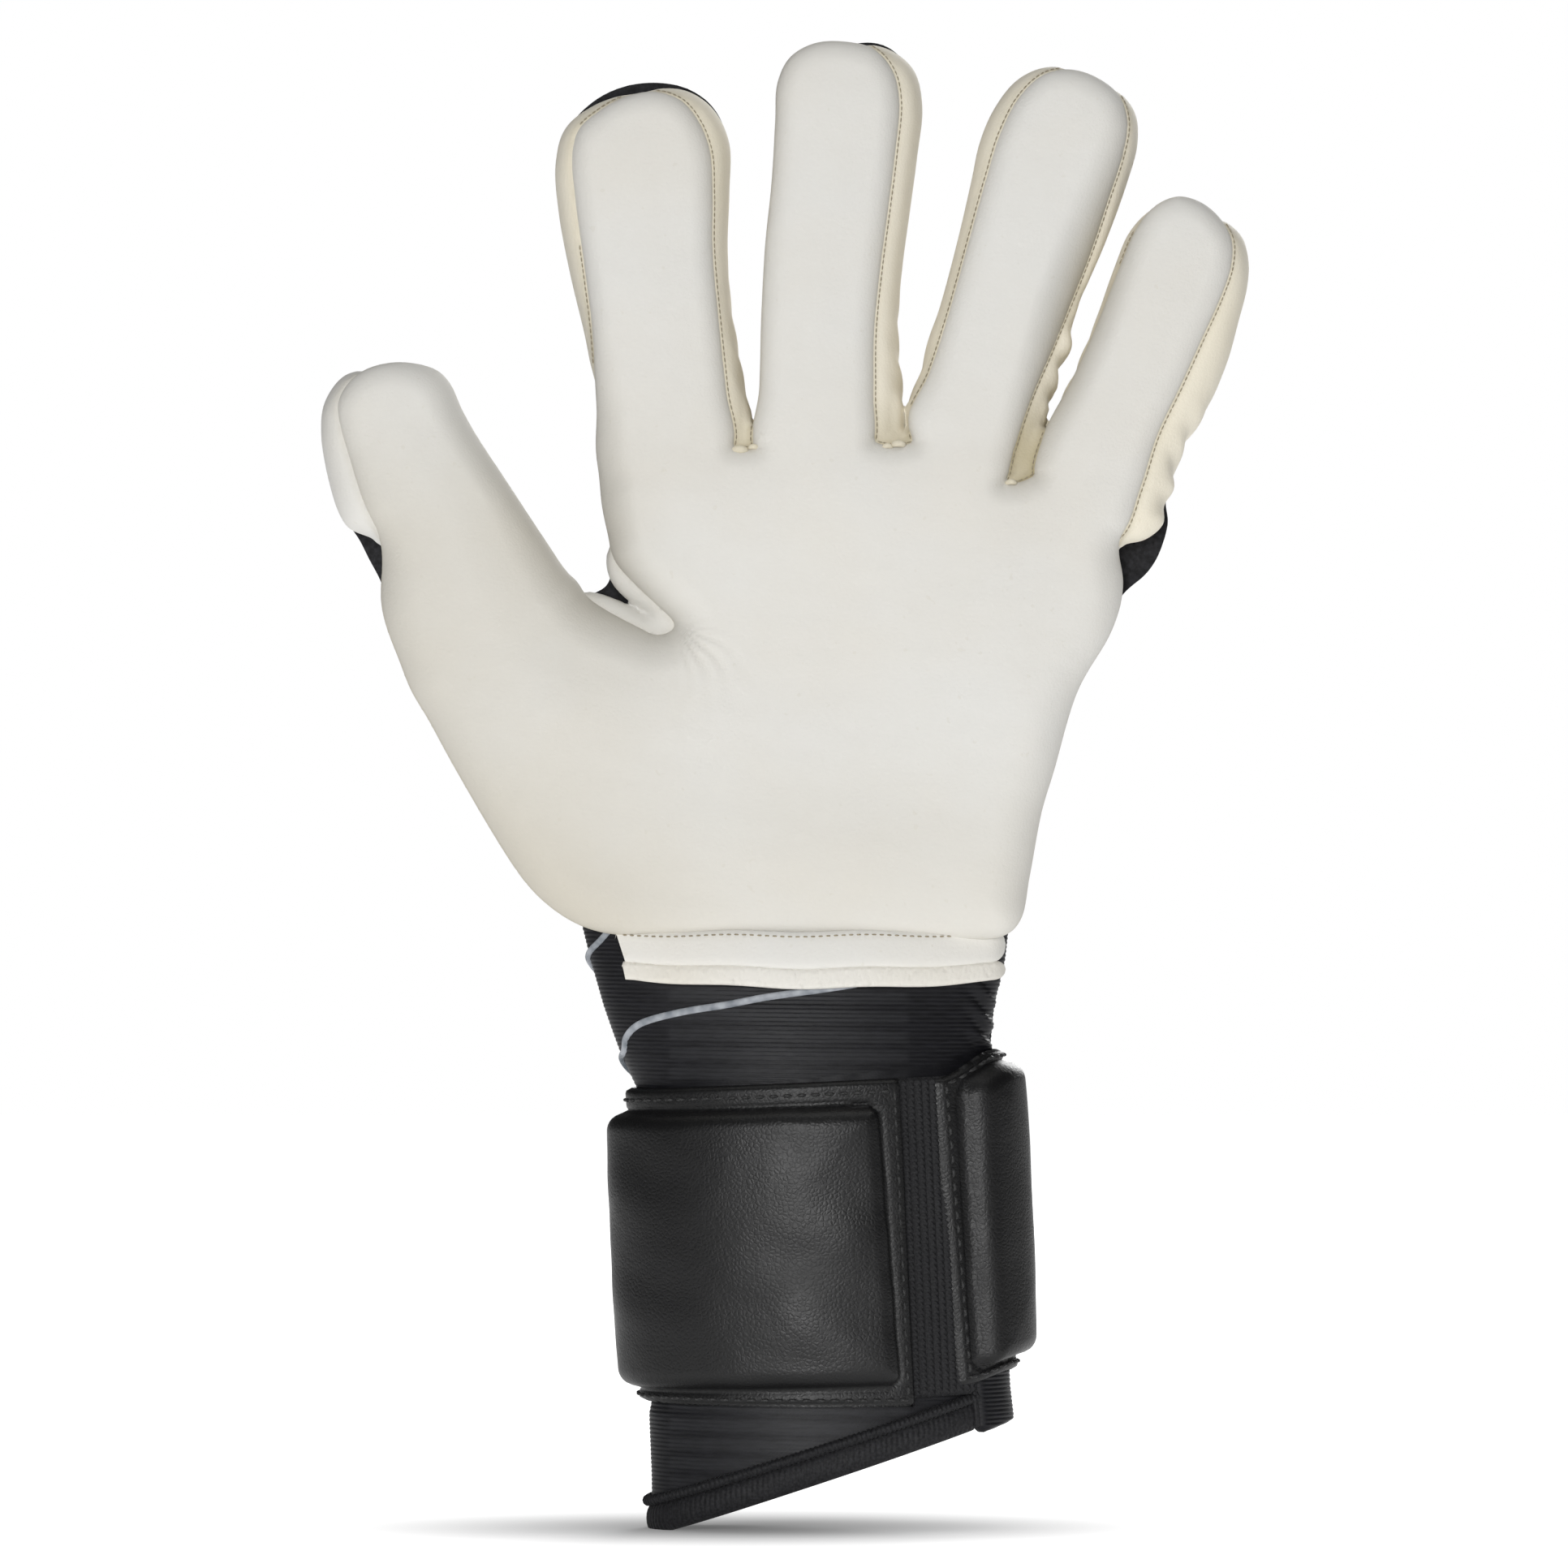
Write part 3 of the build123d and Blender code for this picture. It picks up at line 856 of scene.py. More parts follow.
DIGITS = (
    Digit("index", (-35.8, 236), 0, -5.7, 33,
          pad=((-17, -14), (-16.6, 2), (-16, 18), (-16.4, 34), (-16.9, 48), (-16.6, 58),
               (-14.6, 63.5), (-10, 67), (-4, 69.6), (3.5, 70.2), (9, 67.8), (12.4, 63),
               (14.4, 56), (14, 46), (12.8, 34), (12.6, 18), (12.7, 2), (13, -10), (0, -24)),
          side=((-17, -14), (-16.8, 2), (-17.5, 16), (-19.6, 32), (-20.8, 46), (-20.4, 57),
                (-17.5, 64.5), (-10.5, 69), (0, 71), (9.5, 70.5), (15.5, 66), (18.6, 58),
                (17.6, 47), (15.9, 34), (15.5, 20), (16.6, 4), (17, -10), (0, -24))),
    Digit("middle", (-0.6, 237), 0, 3.8, 36,
          pad=((-16, -12), (-15.9, 2), (-16.5, 18), (-16.7, 34), (-16.2, 48), (-16.3, 62),
               (-16.4, 70), (-14, 76), (-8.5, 79.6), (-1, 80.3), (5, 79), (9.3, 74.5),
               (11.2, 68), (11, 56), (10.3, 44), (9.4, 30), (9, 16), (9.8, 2), (10.2, -9),
               (0, -22)),
          side=((-16.2, -12), (-15.9, 2), (-16.6, 18), (-16.8, 34), (-16.2, 48), (-16.3, 62),
                (-16.5, 70), (-14.2, 76.4), (-7, 80.2), (2, 80.6), (8.4, 79.6), (13.8, 75.6),
                (16.2, 68), (15.8, 56), (15, 44), (14.1, 30), (14.2, 16), (16.2, 2),
                (16.4, -9), (0, -22))),
    Digit("ring", (32.4, 236.5), 7, 15.5, 34,
          pad=((-14, -8), (-12.6, 4), (-12, 18), (-12, 34), (-12, 48), (-11.6, 60),
               (-9.5, 69), (-5.5, 75), (0, 77.4), (6, 77.2), (12, 74.6), (15.3, 69.5),
               (16.2, 62), (15.8, 52), (15.2, 40), (14, 28), (12.6, 16), (11, 4),
               (10.4, -8), (10, -16), (0, -22)),
          side=((-14.7, -8), (-14.3, 4), (-14.6, 12), (-14.1, 18), (-14.2, 34), (-14.8, 48),
                (-15.3, 57), (-14.2, 65), (-11, 72.5), (-5.8, 76.8), (2, 78), (10, 76.6),
                (16.2, 72.6), (18.7, 66), (18.8, 57), (17.6, 42), (15.9, 30), (15.4, 24),
                (16.4, 19), (15.4, 13), (15.4, 8), (15.2, 1), (16.4, -7), (10.4, -16),
                (0, -22))),
    Digit("little", (63, 227), 12, 22.5, 27,
          pad=((-16.1, -4), (-14.9, 10), (-14.4, 24), (-14.7, 38), (-14.6, 46), (-12.6, 53),
               (-8.5, 57), (-3, 57.6), (2.2, 55.8), (6.2, 52.6), (8.4, 47), (8.9, 40),
               (8.6, 30), (8.2, 18), (7.6, 6), (8.6, -6), (8.4, -18), (0, -24), (-14, -14)),
          side=((-16.4, -4), (-15.4, 10), (-15.2, 24), (-15.7, 38), (-15.6, 46), (-13.2, 53),
                (-9, 56.5), (-3.5, 57.2), (2.5, 56.4), (8, 54.6), (11.6, 50), (13.5, 44.5),
                (14.6, 37), (15.8, 27), (15.5, 15), (14.1, 7), (14.2, 1), (15.4, -3),
                (14.9, -7), (16.4, -11), (13.6, -16.5), (8.5, -19), (0, -24), (-14, -14))),
    Digit("thumb", (-79.6, 192.8), -22, -26, 27,
          pad=((-21, -16), (-20.9, -4), (-20.3, 4), (-17.9, 11.6), (-15.4, 15.5),
               (-13.2, 19.3), (-12.4, 24), (-12.8, 28), (-12.2, 34), (-11, 41), (-9.8, 48),
               (-8, 53), (-4, 56), (1, 57), (7, 55.8), (12, 53), (15.2, 49.8), (16.4, 46),
               (16.2, 40), (16.6, 33), (18, 22), (19.4, 11), (20.8, 0), (22, -12), (0, -26)),
          side=((-21, -16), (-20.9, -4), (-20.3, 4), (-17.9, 11.6), (-15, 16), (-13, 20),
                (-13.4, 23.6), (-16.6, 24.7), (-18.8, 27), (-18.9, 30.5), (-18.1, 36.2),
                (-16.4, 43.4), (-14.6, 48.7), (-11, 54.6), (-4.6, 58.2), (0.8, 57.5),
                (7, 56), (12, 53.2), (15.2, 50), (16.4, 46), (16.2, 40), (16.6, 33), (18, 22),
                (19.4, 11), (20.8, 0), (22, -12), (0, -26)),
          reach=26.0),
)

PALM_OUTLINE = ((-48, 118.8), (-20, 118.1), (15, 118.1), (38, 118.5), (41.8, 122), (43.9, 131.8),
                (46.6, 146.2), (49.3, 155.2), (54.7, 173.2), (61.9, 185.8), (64.3, 193),
                (64.6, 199), (62.8, 205.6), (60, 214), (50, 223), (39.8, 219.4), (27, 230),
                (13.5, 227.6), (-3, 232), (-20, 227), (-34, 232), (-51.4, 220), (-50, 208),
                (-48.9, 202.5), (-43.8, 196.4), (-39.6, 192.4), (-35.2, 187.6), (-36.5, 186.2),
                (-39.5, 185.6), (-42.6, 187), (-48.5, 190), (-54.5, 193.9), (-58, 198.5),
                (-75, 205), (-96, 196), (-100.7, 194), (-96.5, 180.4), (-90.6, 167.6),
                (-83.9, 155.2), (-69.5, 131.8), (-64.6, 126.4), (-59.5, 122.6), (-54.5, 120.2))
SIDE_OUTLINE = ((-52, 119), (-20, 117.5), (15, 117.5), (38, 118.2), (41.8, 122), (43.9, 131.8),
                (46.6, 146.2), (49.3, 155.2), (54.7, 173.2), (61.9, 185.8), (64.3, 193),
                (64.6, 199), (62.8, 205.6), (60, 214), (55, 226), (47.4, 229.6), (39, 231),
                (27, 230), (16.2, 231.4), (-3, 232), (-20, 227.6), (-34, 232), (-51.6, 220),
                (-50, 208),
                (-50.4, 201), (-48.9, 196.8), (-45.3, 193.1), (-41.4, 190.2), (-44.9, 191.9),
                (-48.2, 193.4), (-51.8, 194.7), (-55.5, 195.6), (-58.6, 199), (-75, 205),
                (-96, 196), (-100.7, 194), (-96.5, 180.4), (-90.6, 167.6), (-83.9, 155.2),
                (-69.5, 131.8), (-64.6, 126.4), (-59.5, 122.6), (-55, 120.4))


@dataclass
class Hand:
    """The hand part: latex palm side, gussets between front and back, and a dark back."""

    palm_depth: float = 16.0
    finger_radius: float = 5.2
    palm_radius: float = 9.5
    widest: float = 0.5
    back_seam: float = 9.0
    back_depth: float = 13.2
    back_radius: float = 4.2
    wall: float = 2.6
    crown: float = 1.5
    merge: float = 5.0
    thread: float = 0.15
    crotch: tuple[float, float] = (-35.0, 187.6)
    low: tuple[float, float] = (-120.0, 112.0)
    high: tuple[float, float] = (98.0, 322.0)
    crook: tuple[float, float, float, float] = (-58.5, -33.0, 180.0, 209.0)
    palm_split: float = -8.0
    calm: tuple[Hump, ...] = (
        Hump(-97, 184, 17, 30, 1.6, -24), Hump(-52, 217, 5, 13, 1.2), Hump(60.5, 206, 5, 6, 1.2),
    )
    ring_shade: Hump = Hump(55.5, 260, 4.2, 30, 0.75, 15.5)
    crotch_shades: tuple[Hump, ...] = (
        Hump(-18, 227, 6, 7, 0.4), Hump(13.5, 229, 6, 7, 0.4), Hump(43, 225, 7, 11, 0.8),
    )

    swells: tuple[Hump, ...] = (
        Hump(-66, 168, 20, 30, 2.4, -28), Hump(4, 134, 34, 13, 1.4), Hump(38, 168, 14, 34, 1.2),
        Hump(-6, 182, 24, 26, -1.3), Hump(-34, 220, 14, 9, 0.5), Hump(0, 220, 14, 9, 0.5),
        Hump(30, 218, 12, 9, 0.5), Hump(55, 208, 10, 10, 0.4), Hump(-92, 222, 13, 22, 1.2, -26),
        Hump(-98, 160, 22, 40, -3.0, -28),
    )
    rolls: tuple[Hump, ...] = (
        Hump(53, 262, 9, 27, 8.5, 15), Hump(-51, 216, 9, 22, 6.5), Hump(-71, 222, 9, 24, 3.5, -26),
        Hump(-86, 243, 16, 9, 3.0, 64), Hump(-8, 118, 60, 8, -6.0),
    )
    dark_lobes: tuple[Hump, ...] = (
        Hump(-41.6, 297.0, 15.6, 12.0, 1, -5.7), Hump(8.4, 310.4, 7, 7.2, 1, 3.8),
        Hump(65.8, 206.6, 7.8, 11.4, 1, 26), Hump(-98.3, 207.6, 6.8, 11.6, 1, -20),
        Hump(-46.6, 191.5, 6, 6, 1),
    )

    def __post_init__(self) -> None:
        """Measure the outlines of the pads and of the whole glove."""
        pads = [closed_curve(PALM_OUTLINE)] + [closed_curve(d.place(d.pad)) for d in DIGITS]
        sides = [closed_curve(SIDE_OUTLINE)] + [closed_curve(d.place(d.side)) for d in DIGITS]
        self.pads, self.sides = Footprint(pads, self.calm), Footprint(sides, self.calm)

    def wrinkles(self, x: np.ndarray, z: np.ndarray) -> np.ndarray:
        """Fine creases that fan out from the thumb crotch."""
        dx, dz = x - self.crotch[0], z - self.crotch[1]
        reach, turn = np.hypot(dx, dz), np.arctan2(dz, dx)
        fan = np.exp(-(((turn + 0.85) / 0.55) ** 2))
        fade = smooth_step(0.5, 4, reach) * np.exp(-((reach / 15) ** 2))
        lines = np.sin(turn * 21 + 0.35 * reach + 1.1 * np.sin(reach * 0.4))
        return 0.45 * fan * fade * (0.4 + 0.6 * lines)

    def depth(self, x: np.ndarray, z: np.ndarray, inset: np.ndarray) -> np.ndarray:
        """Distance of the palm face in front of the glove's middle plane."""
        rise = self.palm_depth - self.crown + 1.6 * (1 - np.exp(-np.maximum(inset, 0) / 8))
        for swell in self.swells:
            rise = rise + swell.at(x, z)
        rise = rise - self.wrinkles(x, z)
        uneven = 0.10 * ripple(x, z, 30, 3) + 0.05 * ripple(x, z, 11, 4)
        return rise + uneven * smooth_step(0, 6, inset)

    def roll(self, x: np.ndarray, z: np.ndarray) -> np.ndarray:
        """Radius of the rounded edge of the palm side."""
        radius = self.finger_radius + (self.palm_radius - self.finger_radius) * smooth_step(
            218, 192, z)
        for soft in self.rolls:
            radius = radius + soft.at(x, z)
        return np.clip(radius, 3.5, 13.5)

    def seam_line(self, x: np.ndarray, z: np.ndarray) -> np.ndarray:
        """Place along Y of the seam where the palm side meets the side walls."""
        return -np.clip(self.palm_depth + 0.2 - self.roll(x, z), 3.0, 11.0)

    def front(self, x: np.ndarray, y: np.ndarray, z: np.ndarray) -> np.ndarray:
        """Field of the latex palm side: negative inside."""
        inset = self.pads.at(x, z)
        radius = self.roll(x, z)
        rise = self.depth(x, z, inset)
        across = np.maximum(radius - inset, 0)
        ahead = np.maximum(-y - (rise - radius), 0)
        wrap = self.seam_line(x, z) + 2.0
        return np.maximum(np.hypot(across, ahead) - radius, y - wrap)

    def gusset_waves(self, x: np.ndarray, y: np.ndarray, z: np.ndarray) -> np.ndarray:
        """Small gathers where the gussets are eased round the finger roots."""
        near = np.exp(-(((x - 50) / 6) ** 2) - ((z - 246) / 15) ** 2)
        near = near + np.exp(-(((x - 79) / 7) ** 2) - ((z - 224) / 12) ** 2)
        near = near + 0.5 * np.exp(-(((x + 19) / 4) ** 2) - ((z - 252) / 14) ** 2)
        near = near + 0.6 * np.exp(-(((x - 16) / 4) ** 2) - ((z - 246) / 12) ** 2)
        return 0.55 * near * np.sin(0.72 * z + 0.35 * y + 0.2 * x)

    def side_inset(self, x: np.ndarray, y: np.ndarray, z: np.ndarray) -> np.ndarray:
        """Distance inside the bulging side wall."""
        pad, side = self.pads.at(x, z), self.sides.at(x, z)
        back = side - 1.4
        ahead = np.clip((self.widest - y) / (self.widest - self.seam_line(x, z)), 0, 1)
        behind = np.clip((y - self.widest) / (self.back_seam - self.widest), 0, 1)
        bulge = np.sqrt(np.maximum(1 - ahead**2.2, 0)) - (1 - np.sqrt(np.maximum(
            1 - behind**2, 0)))
        bulge_front = np.clip(bulge, 0, 1)
        wall = np.where(y < self.widest, pad - 0.6 + (side - pad + 0.6) * bulge_front,
                        back + (side - back) * bulge_front)
        recess = 0.7 * smooth_step(1.2, 0.3, side - pad)
        return wall - recess + self.gusset_waves(x, y, z) * bulge_front

    def side(self, x: np.ndarray, y: np.ndarray, z: np.ndarray) -> np.ndarray:
        """Field of the side walls and gussets: negative inside."""
        inset = self.side_inset(x, y, z)
        ahead = y - 2.4 * smooth_step(self.widest + 3, self.widest - 3, y)
        inner = self.side_inset(x, ahead, z) - self.wall * 0.7
        ends = np.maximum(self.seam_line(x, z) - 0.5 - y, y - self.back_seam - 0.6)
        return np.maximum(np.maximum(-inset, inner), ends)

    def back_inset(self, x: np.ndarray, z: np.ndarray) -> np.ndarray:
        """Distance inside the outline of the back."""
        inset = self.sides.at(x, z) - 1.0
        for lobe in self.dark_lobes:
            other = lobe.inside(x, z)
            near = np.maximum(self.merge - np.abs(inset - other), 0)
            inset = np.maximum(inset, other) + near**2 / (4 * self.merge) * (inset > -6)
        return inset

    def channels(self, x: np.ndarray, z: np.ndarray) -> np.ndarray:
        """Depth of the pressed channels in the back of the hand, from 0 to 1."""
        groove = np.zeros(np.broadcast(x, z).shape)
        for digit in DIGITS[:4]:
            w, s = digit.frame_of(x, z)
            bend = w - 0.16 * digit.lean / 15 * (s + 30) * smooth_step(-12, -90, s)
            line = np.exp(-((bend / 1.1) ** 2)) * smooth_step(-96, -84, s) * smooth_step(-8, -16, s)
            groove = np.maximum(groove, line)
            for stop in (digit.middle - 9, digit.middle + 5, 4.0):
                bar = np.exp(-(((s - stop) / 1.0) ** 2)) * smooth_step(13, 10, np.abs(w))
                groove = np.maximum(groove, bar)
        return groove

    def behind(self, x: np.ndarray, y: np.ndarray, z: np.ndarray) -> np.ndarray:
        """Field of the dark back: negative inside."""
        inset = self.back_inset(x, z)
        pad = smooth_step(4, 9, inset) * smooth_step(124, 134, z)
        rise = self.back_depth + pad * (1.6 + 1.6 * smooth_step(226, 212, z))
        rise = rise - 1.5 * pad * self.channels(x, z) + 0.12 * ripple(x, z, 26, 9)
        across = np.maximum(self.back_radius - inset, 0)
        ahead = np.maximum(y - (rise - self.back_radius), 0)
        return np.maximum(np.hypot(across, ahead) - self.back_radius, self.back_seam - 2.2 - y)

    def net(self, field: Field, nearest: float, farthest: float, cell: float = CELL) -> Skin:
        """Cover one of the hand's fields, between two depths."""
        return net_surface(field, (self.low[0], nearest, self.low[1]),
                           (self.high[0], farthest, self.high[1]), cell)

    @staticmethod
    def regions(points: np.ndarray) -> dict[str, np.ndarray]:
        """Share out points among the hand and the two halves of each digit.

        Args:
            points: places, one row each.

        Returns:
            A mask for every region that holds points, by the region's name.
        """
        x, z = points[:, 0], points[:, 2]
        best, owner = np.full(len(points), 1e9), np.full(len(points), -1)
        for number, digit in enumerate(DIGITS):
            away = np.abs(digit.frame_of(x, z)[0])
            mine = (digit.past_hinge(x, z) > -7.5) & (away < digit.reach) & (away < best)
            best[mine], owner[mine] = away[mine], number
        found = {"hand": owner < 0}
        for number, digit in enumerate(DIGITS):
            high = digit.past_hinge(x, z) > digit.middle / 2 + 0.5
            found[f"{digit.name}_lower"] = (owner == number) & ~high
            found[f"{digit.name}_upper"] = (owner == number) & high
        return {name: mask for name, mask in found.items() if mask.any()}

    @staticmethod
    def settle(piece: bpy.types.Object, region: str) -> None:
        """Attach a piece to the hand, or bake a digit piece's transform into its mesh; the ends of
        the stretch at the digit's hinge are found but not used.

        Args:
            piece: the piece.
            region: region that it covers.
        """
        if region == "hand":
            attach(piece, "hand")
            return
        digit = next(d for d in DIGITS if region.startswith(d.name))
        if region.endswith("lower"):
            start, end = digit.stretch(0, 7.0)
            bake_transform(piece)
        else:
            start, end = digit.stretch(digit.middle, 7.5)
            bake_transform(piece)

    def painted_seam_shade(self, skin: Skin, reach: float, strength: float) -> np.ndarray:
        """Paint shade into a surface towards the seam between pad and gusset, where the crease
        would be shaded.
        """
        x, y, z = skin.points.T
        edge = np.abs(self.pads.at(x, z)) + 0.6 * np.abs(y - self.seam_line(x, z) - 1)
        return strength * np.exp(-((edge / reach) ** 2))

    def painted_gusset_shade(self, skin: Skin, strength: float) -> np.ndarray:
        """Paint shade into a gusset towards its seam and down into the finger crotches."""
        x, z = skin.points[:, 0], skin.points[:, 2]
        deep = sum(shade.at(x, z) for shade in self.crotch_shades)
        return np.clip(self.painted_seam_shade(skin, 1.1, strength) + deep, 0, 1)

    def build_front(self, finishes: Finishes) -> list[bpy.types.Object]:
        """Make the latex palm and the front of every digit.

        Args:
            finishes: the glove's materials.

        Returns:
            The pieces.
        """
        skin = self.net(self.front, -22.0, 0.0)
        made = []
        for region, mask in self.regions(skin.middles()).items():
            piece_skin = skin.part(mask)
            x, z = piece_skin.points[:, 0], piece_skin.points[:, 2]
            # painted shade: darker at the pad seams, in the thumb-crotch wrinkles and along the
            # ring finger's right edge
            shade = self.painted_seam_shade(piece_skin, 1.2, 0.3) + 0.3 * np.clip(
                self.wrinkles(x, z), 0, 1) + self.ring_shade.at(x, z)
            # painted shade along the palm's thumb-side edge, and darker towards the bottom of the
            # palm
            rim = np.exp(-np.maximum(self.pads.at(x, z), 0) / 22) * smooth_step(-20, -60, x)
            shade = shade + 0.55 * rim * smooth_step(246, 205, z) + 0.2 * smooth_step(
                170, 125, z)
            name = "palm_latex" if region == "hand" else f"{region}_latex"
            piece = make_piece(f"{name}_skin", piece_skin, finishes.palm, shade)
            self.settle(piece, region)
            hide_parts(name)
            made.append(piece)
        return made

    def build_sides(self, finishes: Finishes) -> list[bpy.types.Object]:
        """Make the gussets of the digits and the side walls of the hand.

        Args:
            finishes: the glove's materials.

        Returns:
            The pieces.
        """
        skin = self.net(self.side, -12.0, 11.0, 0.85)
        made = []
        for region, mask in self.regions(skin.middles()).items():
            if region != "hand":
                piece_skin = skin.part(mask)
                # painted shade towards the seam and down into the finger crotches
                shade = self.painted_gusset_shade(piece_skin, 0.4)
                finish = finishes.palm if region.startswith("thumb") else finishes.gusset
                piece = make_piece(f"{region}_gusset_skin", piece_skin, finish,
                                   shade)
                self.settle(piece, region)
                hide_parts(f"{region}_gusset")
                made.append(piece)
                continue
            middles = skin.middles()
            x, z = middles[:, 0], middles[:, 2]
            x_low, x_high, z_low, z_high = self.crook
            web = mask & (x > x_low) & (x < x_high) & (z > z_low) & (z < z_high)
            roots = mask & (z > 208) & (x > -52) & ~web
            roots |= mask & (x > 40) & (z > 205) & ~web
            left = mask & (x < self.palm_split) & ~web & ~roots
            right = mask & ~left & ~web & ~roots
            for name, chosen, finish, slot, nodes in (
                ("thumb_side_panel_skin", left, finishes.palm, Slot.PALM, ["thumb_side_panel"]),
                ("little_side_panel_skin", right, finishes.palm, Slot.PALM, ["little_side_panel"]),
                ("thumb_web_gusset_skin", web, finishes.palm, Slot.GUSSET,
                 ["thumb_web_gusset"]),
                ("finger_root_webs", roots, finishes.gusset, Slot.GUSSET,
                 ["index_middle_web", "middle_ring_web", "ring_little_web"]),
            ):
                piece_skin = skin.part(chosen)
                # strength of the painted shade: the thumb web gets less than the finger webs
                pale = 0.3 if name.startswith("thumb_web") else 0.5
                shade = self.painted_gusset_shade(piece_skin, pale)
                piece = make_piece(name, piece_skin, finish, shade)
                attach(piece, "hand")
                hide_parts(*nodes)
                made.append(piece)
        return made

    def build_seams(self, finishes: Finishes) -> list[bpy.types.Object]:
        """Sew the pads to the gussets with a fine row of thread.

        Args:
            finishes: the glove's materials.

        Returns:
            The pieces, one for the hand and one for each half of a digit.
        """
        start, end = self.pads.edges[:, 0], self.pads.edges[:, 1]
        middle = (start + end) / 2
        gap = self.sides.at(*middle.T) - self.pads.at(*middle.T)
        in_crook = (middle[:, 0] < -30) & (middle[:, 1] < 214)
        shown = (gap > 1.0) & (middle[:, 0] > -56) & ~in_crook
        start, end, middle = (ends[shown] for ends in (start, end, middle))
        spots = np.stack([middle[:, 0], 0 * middle[:, 0], middle[:, 1]], 1)
        outward = -slope(lambda x, y, z: self.pads.at(x, z), spots, 0.6)
        made = []
        for region, mask in self.regions(spots).items():
            skins = []
            for a, b, out in zip(start[mask], end[mask], outward[mask]):
                flat = a + (b - a) * np.linspace(0.02, 0.9, 4)[:, None]
                depth = self.seam_line(flat[:, 0], flat[:, 1]) - 0.15
                line = np.stack([flat[:, 0], depth, flat[:, 1]], 1) + 0.2 * out
                skins.append(tube(line, self.thread, 5, up=(0, 1, 0)))
            name = "palm" if region == "hand" else region
            piece = make_piece(f"{name}_seam_stitches", join(skins), finishes.seam_thread)
            self.settle(piece, region)
            made.append(piece)
        return made

    def build_nubs(self, finishes: Finishes) -> list[bpy.types.Object]:
        """Roll the small ends of the gussets that show in the finger crotches."""
        skins = []
        for x, z, wide in ((-20.6, 226.6, 1.9), (-17.6, 227.2, 1.2), (12.2, 227.4, 1.2),
                           (14.6, 227.9, 1.6), (39.6, 219.4, 1.3)):
            way = np.linspace(-1, 1, 9)
            line = np.stack([x + wide * way, -12.6 + 1.1 * way**2, z - 0.5 * way**2], 1)
            skins.append(tube(line, wide * 0.5 * np.sqrt(1 - 0.9 * way**2), 12, up=(0, 0, 1)))
        skin = join(skins)
        # the rolls are mixed evenly a little towards the gusset's painted shade colour, as shaded
        # in the crotches
        piece = make_piece("finger_crotch_rolls", skin, finishes.gusset,
                           np.full(len(skin.points), 0.3))
        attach(piece, "hand")
        return [piece]

    def build_back(self, finishes: Finishes) -> list[bpy.types.Object]:
        """Make the dark back of the hand and of every digit.

        Args:
            finishes: the glove's materials.

        Returns:
            The pieces.
        """
        skin = self.net(self.behind, 5.5, 20.0)
        made = []
        for region, mask in self.regions(skin.middles()).items():
            nodes = [f"{region}_back"]
            if region == "hand":
                middles = skin.middles()
                raised = self.back_inset(middles[:, 0], middles[:, 2]) > 6.5
                raised &= (middles[:, 2] > 130) & (middles[:, 1] > 11)
                pad = make_piece("backhand_pad_skin", skin.part(mask & raised), finishes.foam)
                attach(pad, "hand")
                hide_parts("backhand_pad")
                made.append(pad)
                mask, nodes = mask & ~raised, ["backhand_body", "wrist_gaiter"]
            name = "backhand_body_skin" if region == "hand" else f"{region}_back_skin"
            piece = make_piece(name, skin.part(mask), finishes.back)
            self.settle(piece, region)
            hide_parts(*nodes)
            made.append(piece)
        return made


# ---------------------------------------------------------------- forearm, cuff and strap


@dataclass(frozen=True)
class Forearm:
    """The oval line of the forearm that cuff and strap are wrapped round."""

    lean: float = 2.6
    half_width: float = 38.5
    half_depth: float = 20.0
    mouth_slope: float = 19.0

    @property
    def along(self) -> np.ndarray:
        """Direction along the forearm, towards the hand."""
        turn = np.radians(self.lean)
        return np.array([-np.sin(turn), 0, np.cos(turn)])

    @property
    def across(self) -> np.ndarray:
        """Direction across the forearm, away from the thumb."""
        turn = np.radians(self.lean)
        return np.array([np.cos(turn), 0, np.sin(turn)])

    def point(self, turn: np.ndarray, height: np.ndarray, level: np.ndarray) -> np.ndarray:
        """Find places round the forearm.

        Args:
            turn: degrees round the forearm.
            height: distance along the forearm.
            level: distance outside the cuff.

        Returns:
            Points, with x, y and z last.
        """
        turn, height, level = np.broadcast_arrays(np.radians(turn), height, level)
        wide, deep = self.half_width + level, self.half_depth + level
        reach = 1 / np.sqrt((np.cos(turn) / wide) ** 2 + (np.sin(turn) / deep) ** 2)
        return ((reach * np.cos(turn))[..., None] * self.across
                + (reach * np.sin(turn))[..., None] * np.array([0, 1.0, 0])
                + height[..., None] * self.along)


ARM = Forearm()


def travelled(path: np.ndarray) -> np.ndarray:
    """Distance from the start of a path at each of its points."""
    return np.concatenate([[0], np.cumsum(np.linalg.norm(np.diff(path, axis=0), axis=1))])


def slab(outer: np.ndarray, inner: np.ndarray, closed_u: bool = False) -> Skin:
    """Close a sheet from its outer and inner face.

    Args:
        outer: grid of points on the outer face.
        inner: grid on the inner face, in the same order.
        closed_u: whether the first way round closes on itself.

    Returns:
        The sheet's surface.
    """
    grid = np.concatenate([outer, inner[:, ::-1]], 1)
    return grid_skin(grid, closed_u=closed_u, closed_v=True)


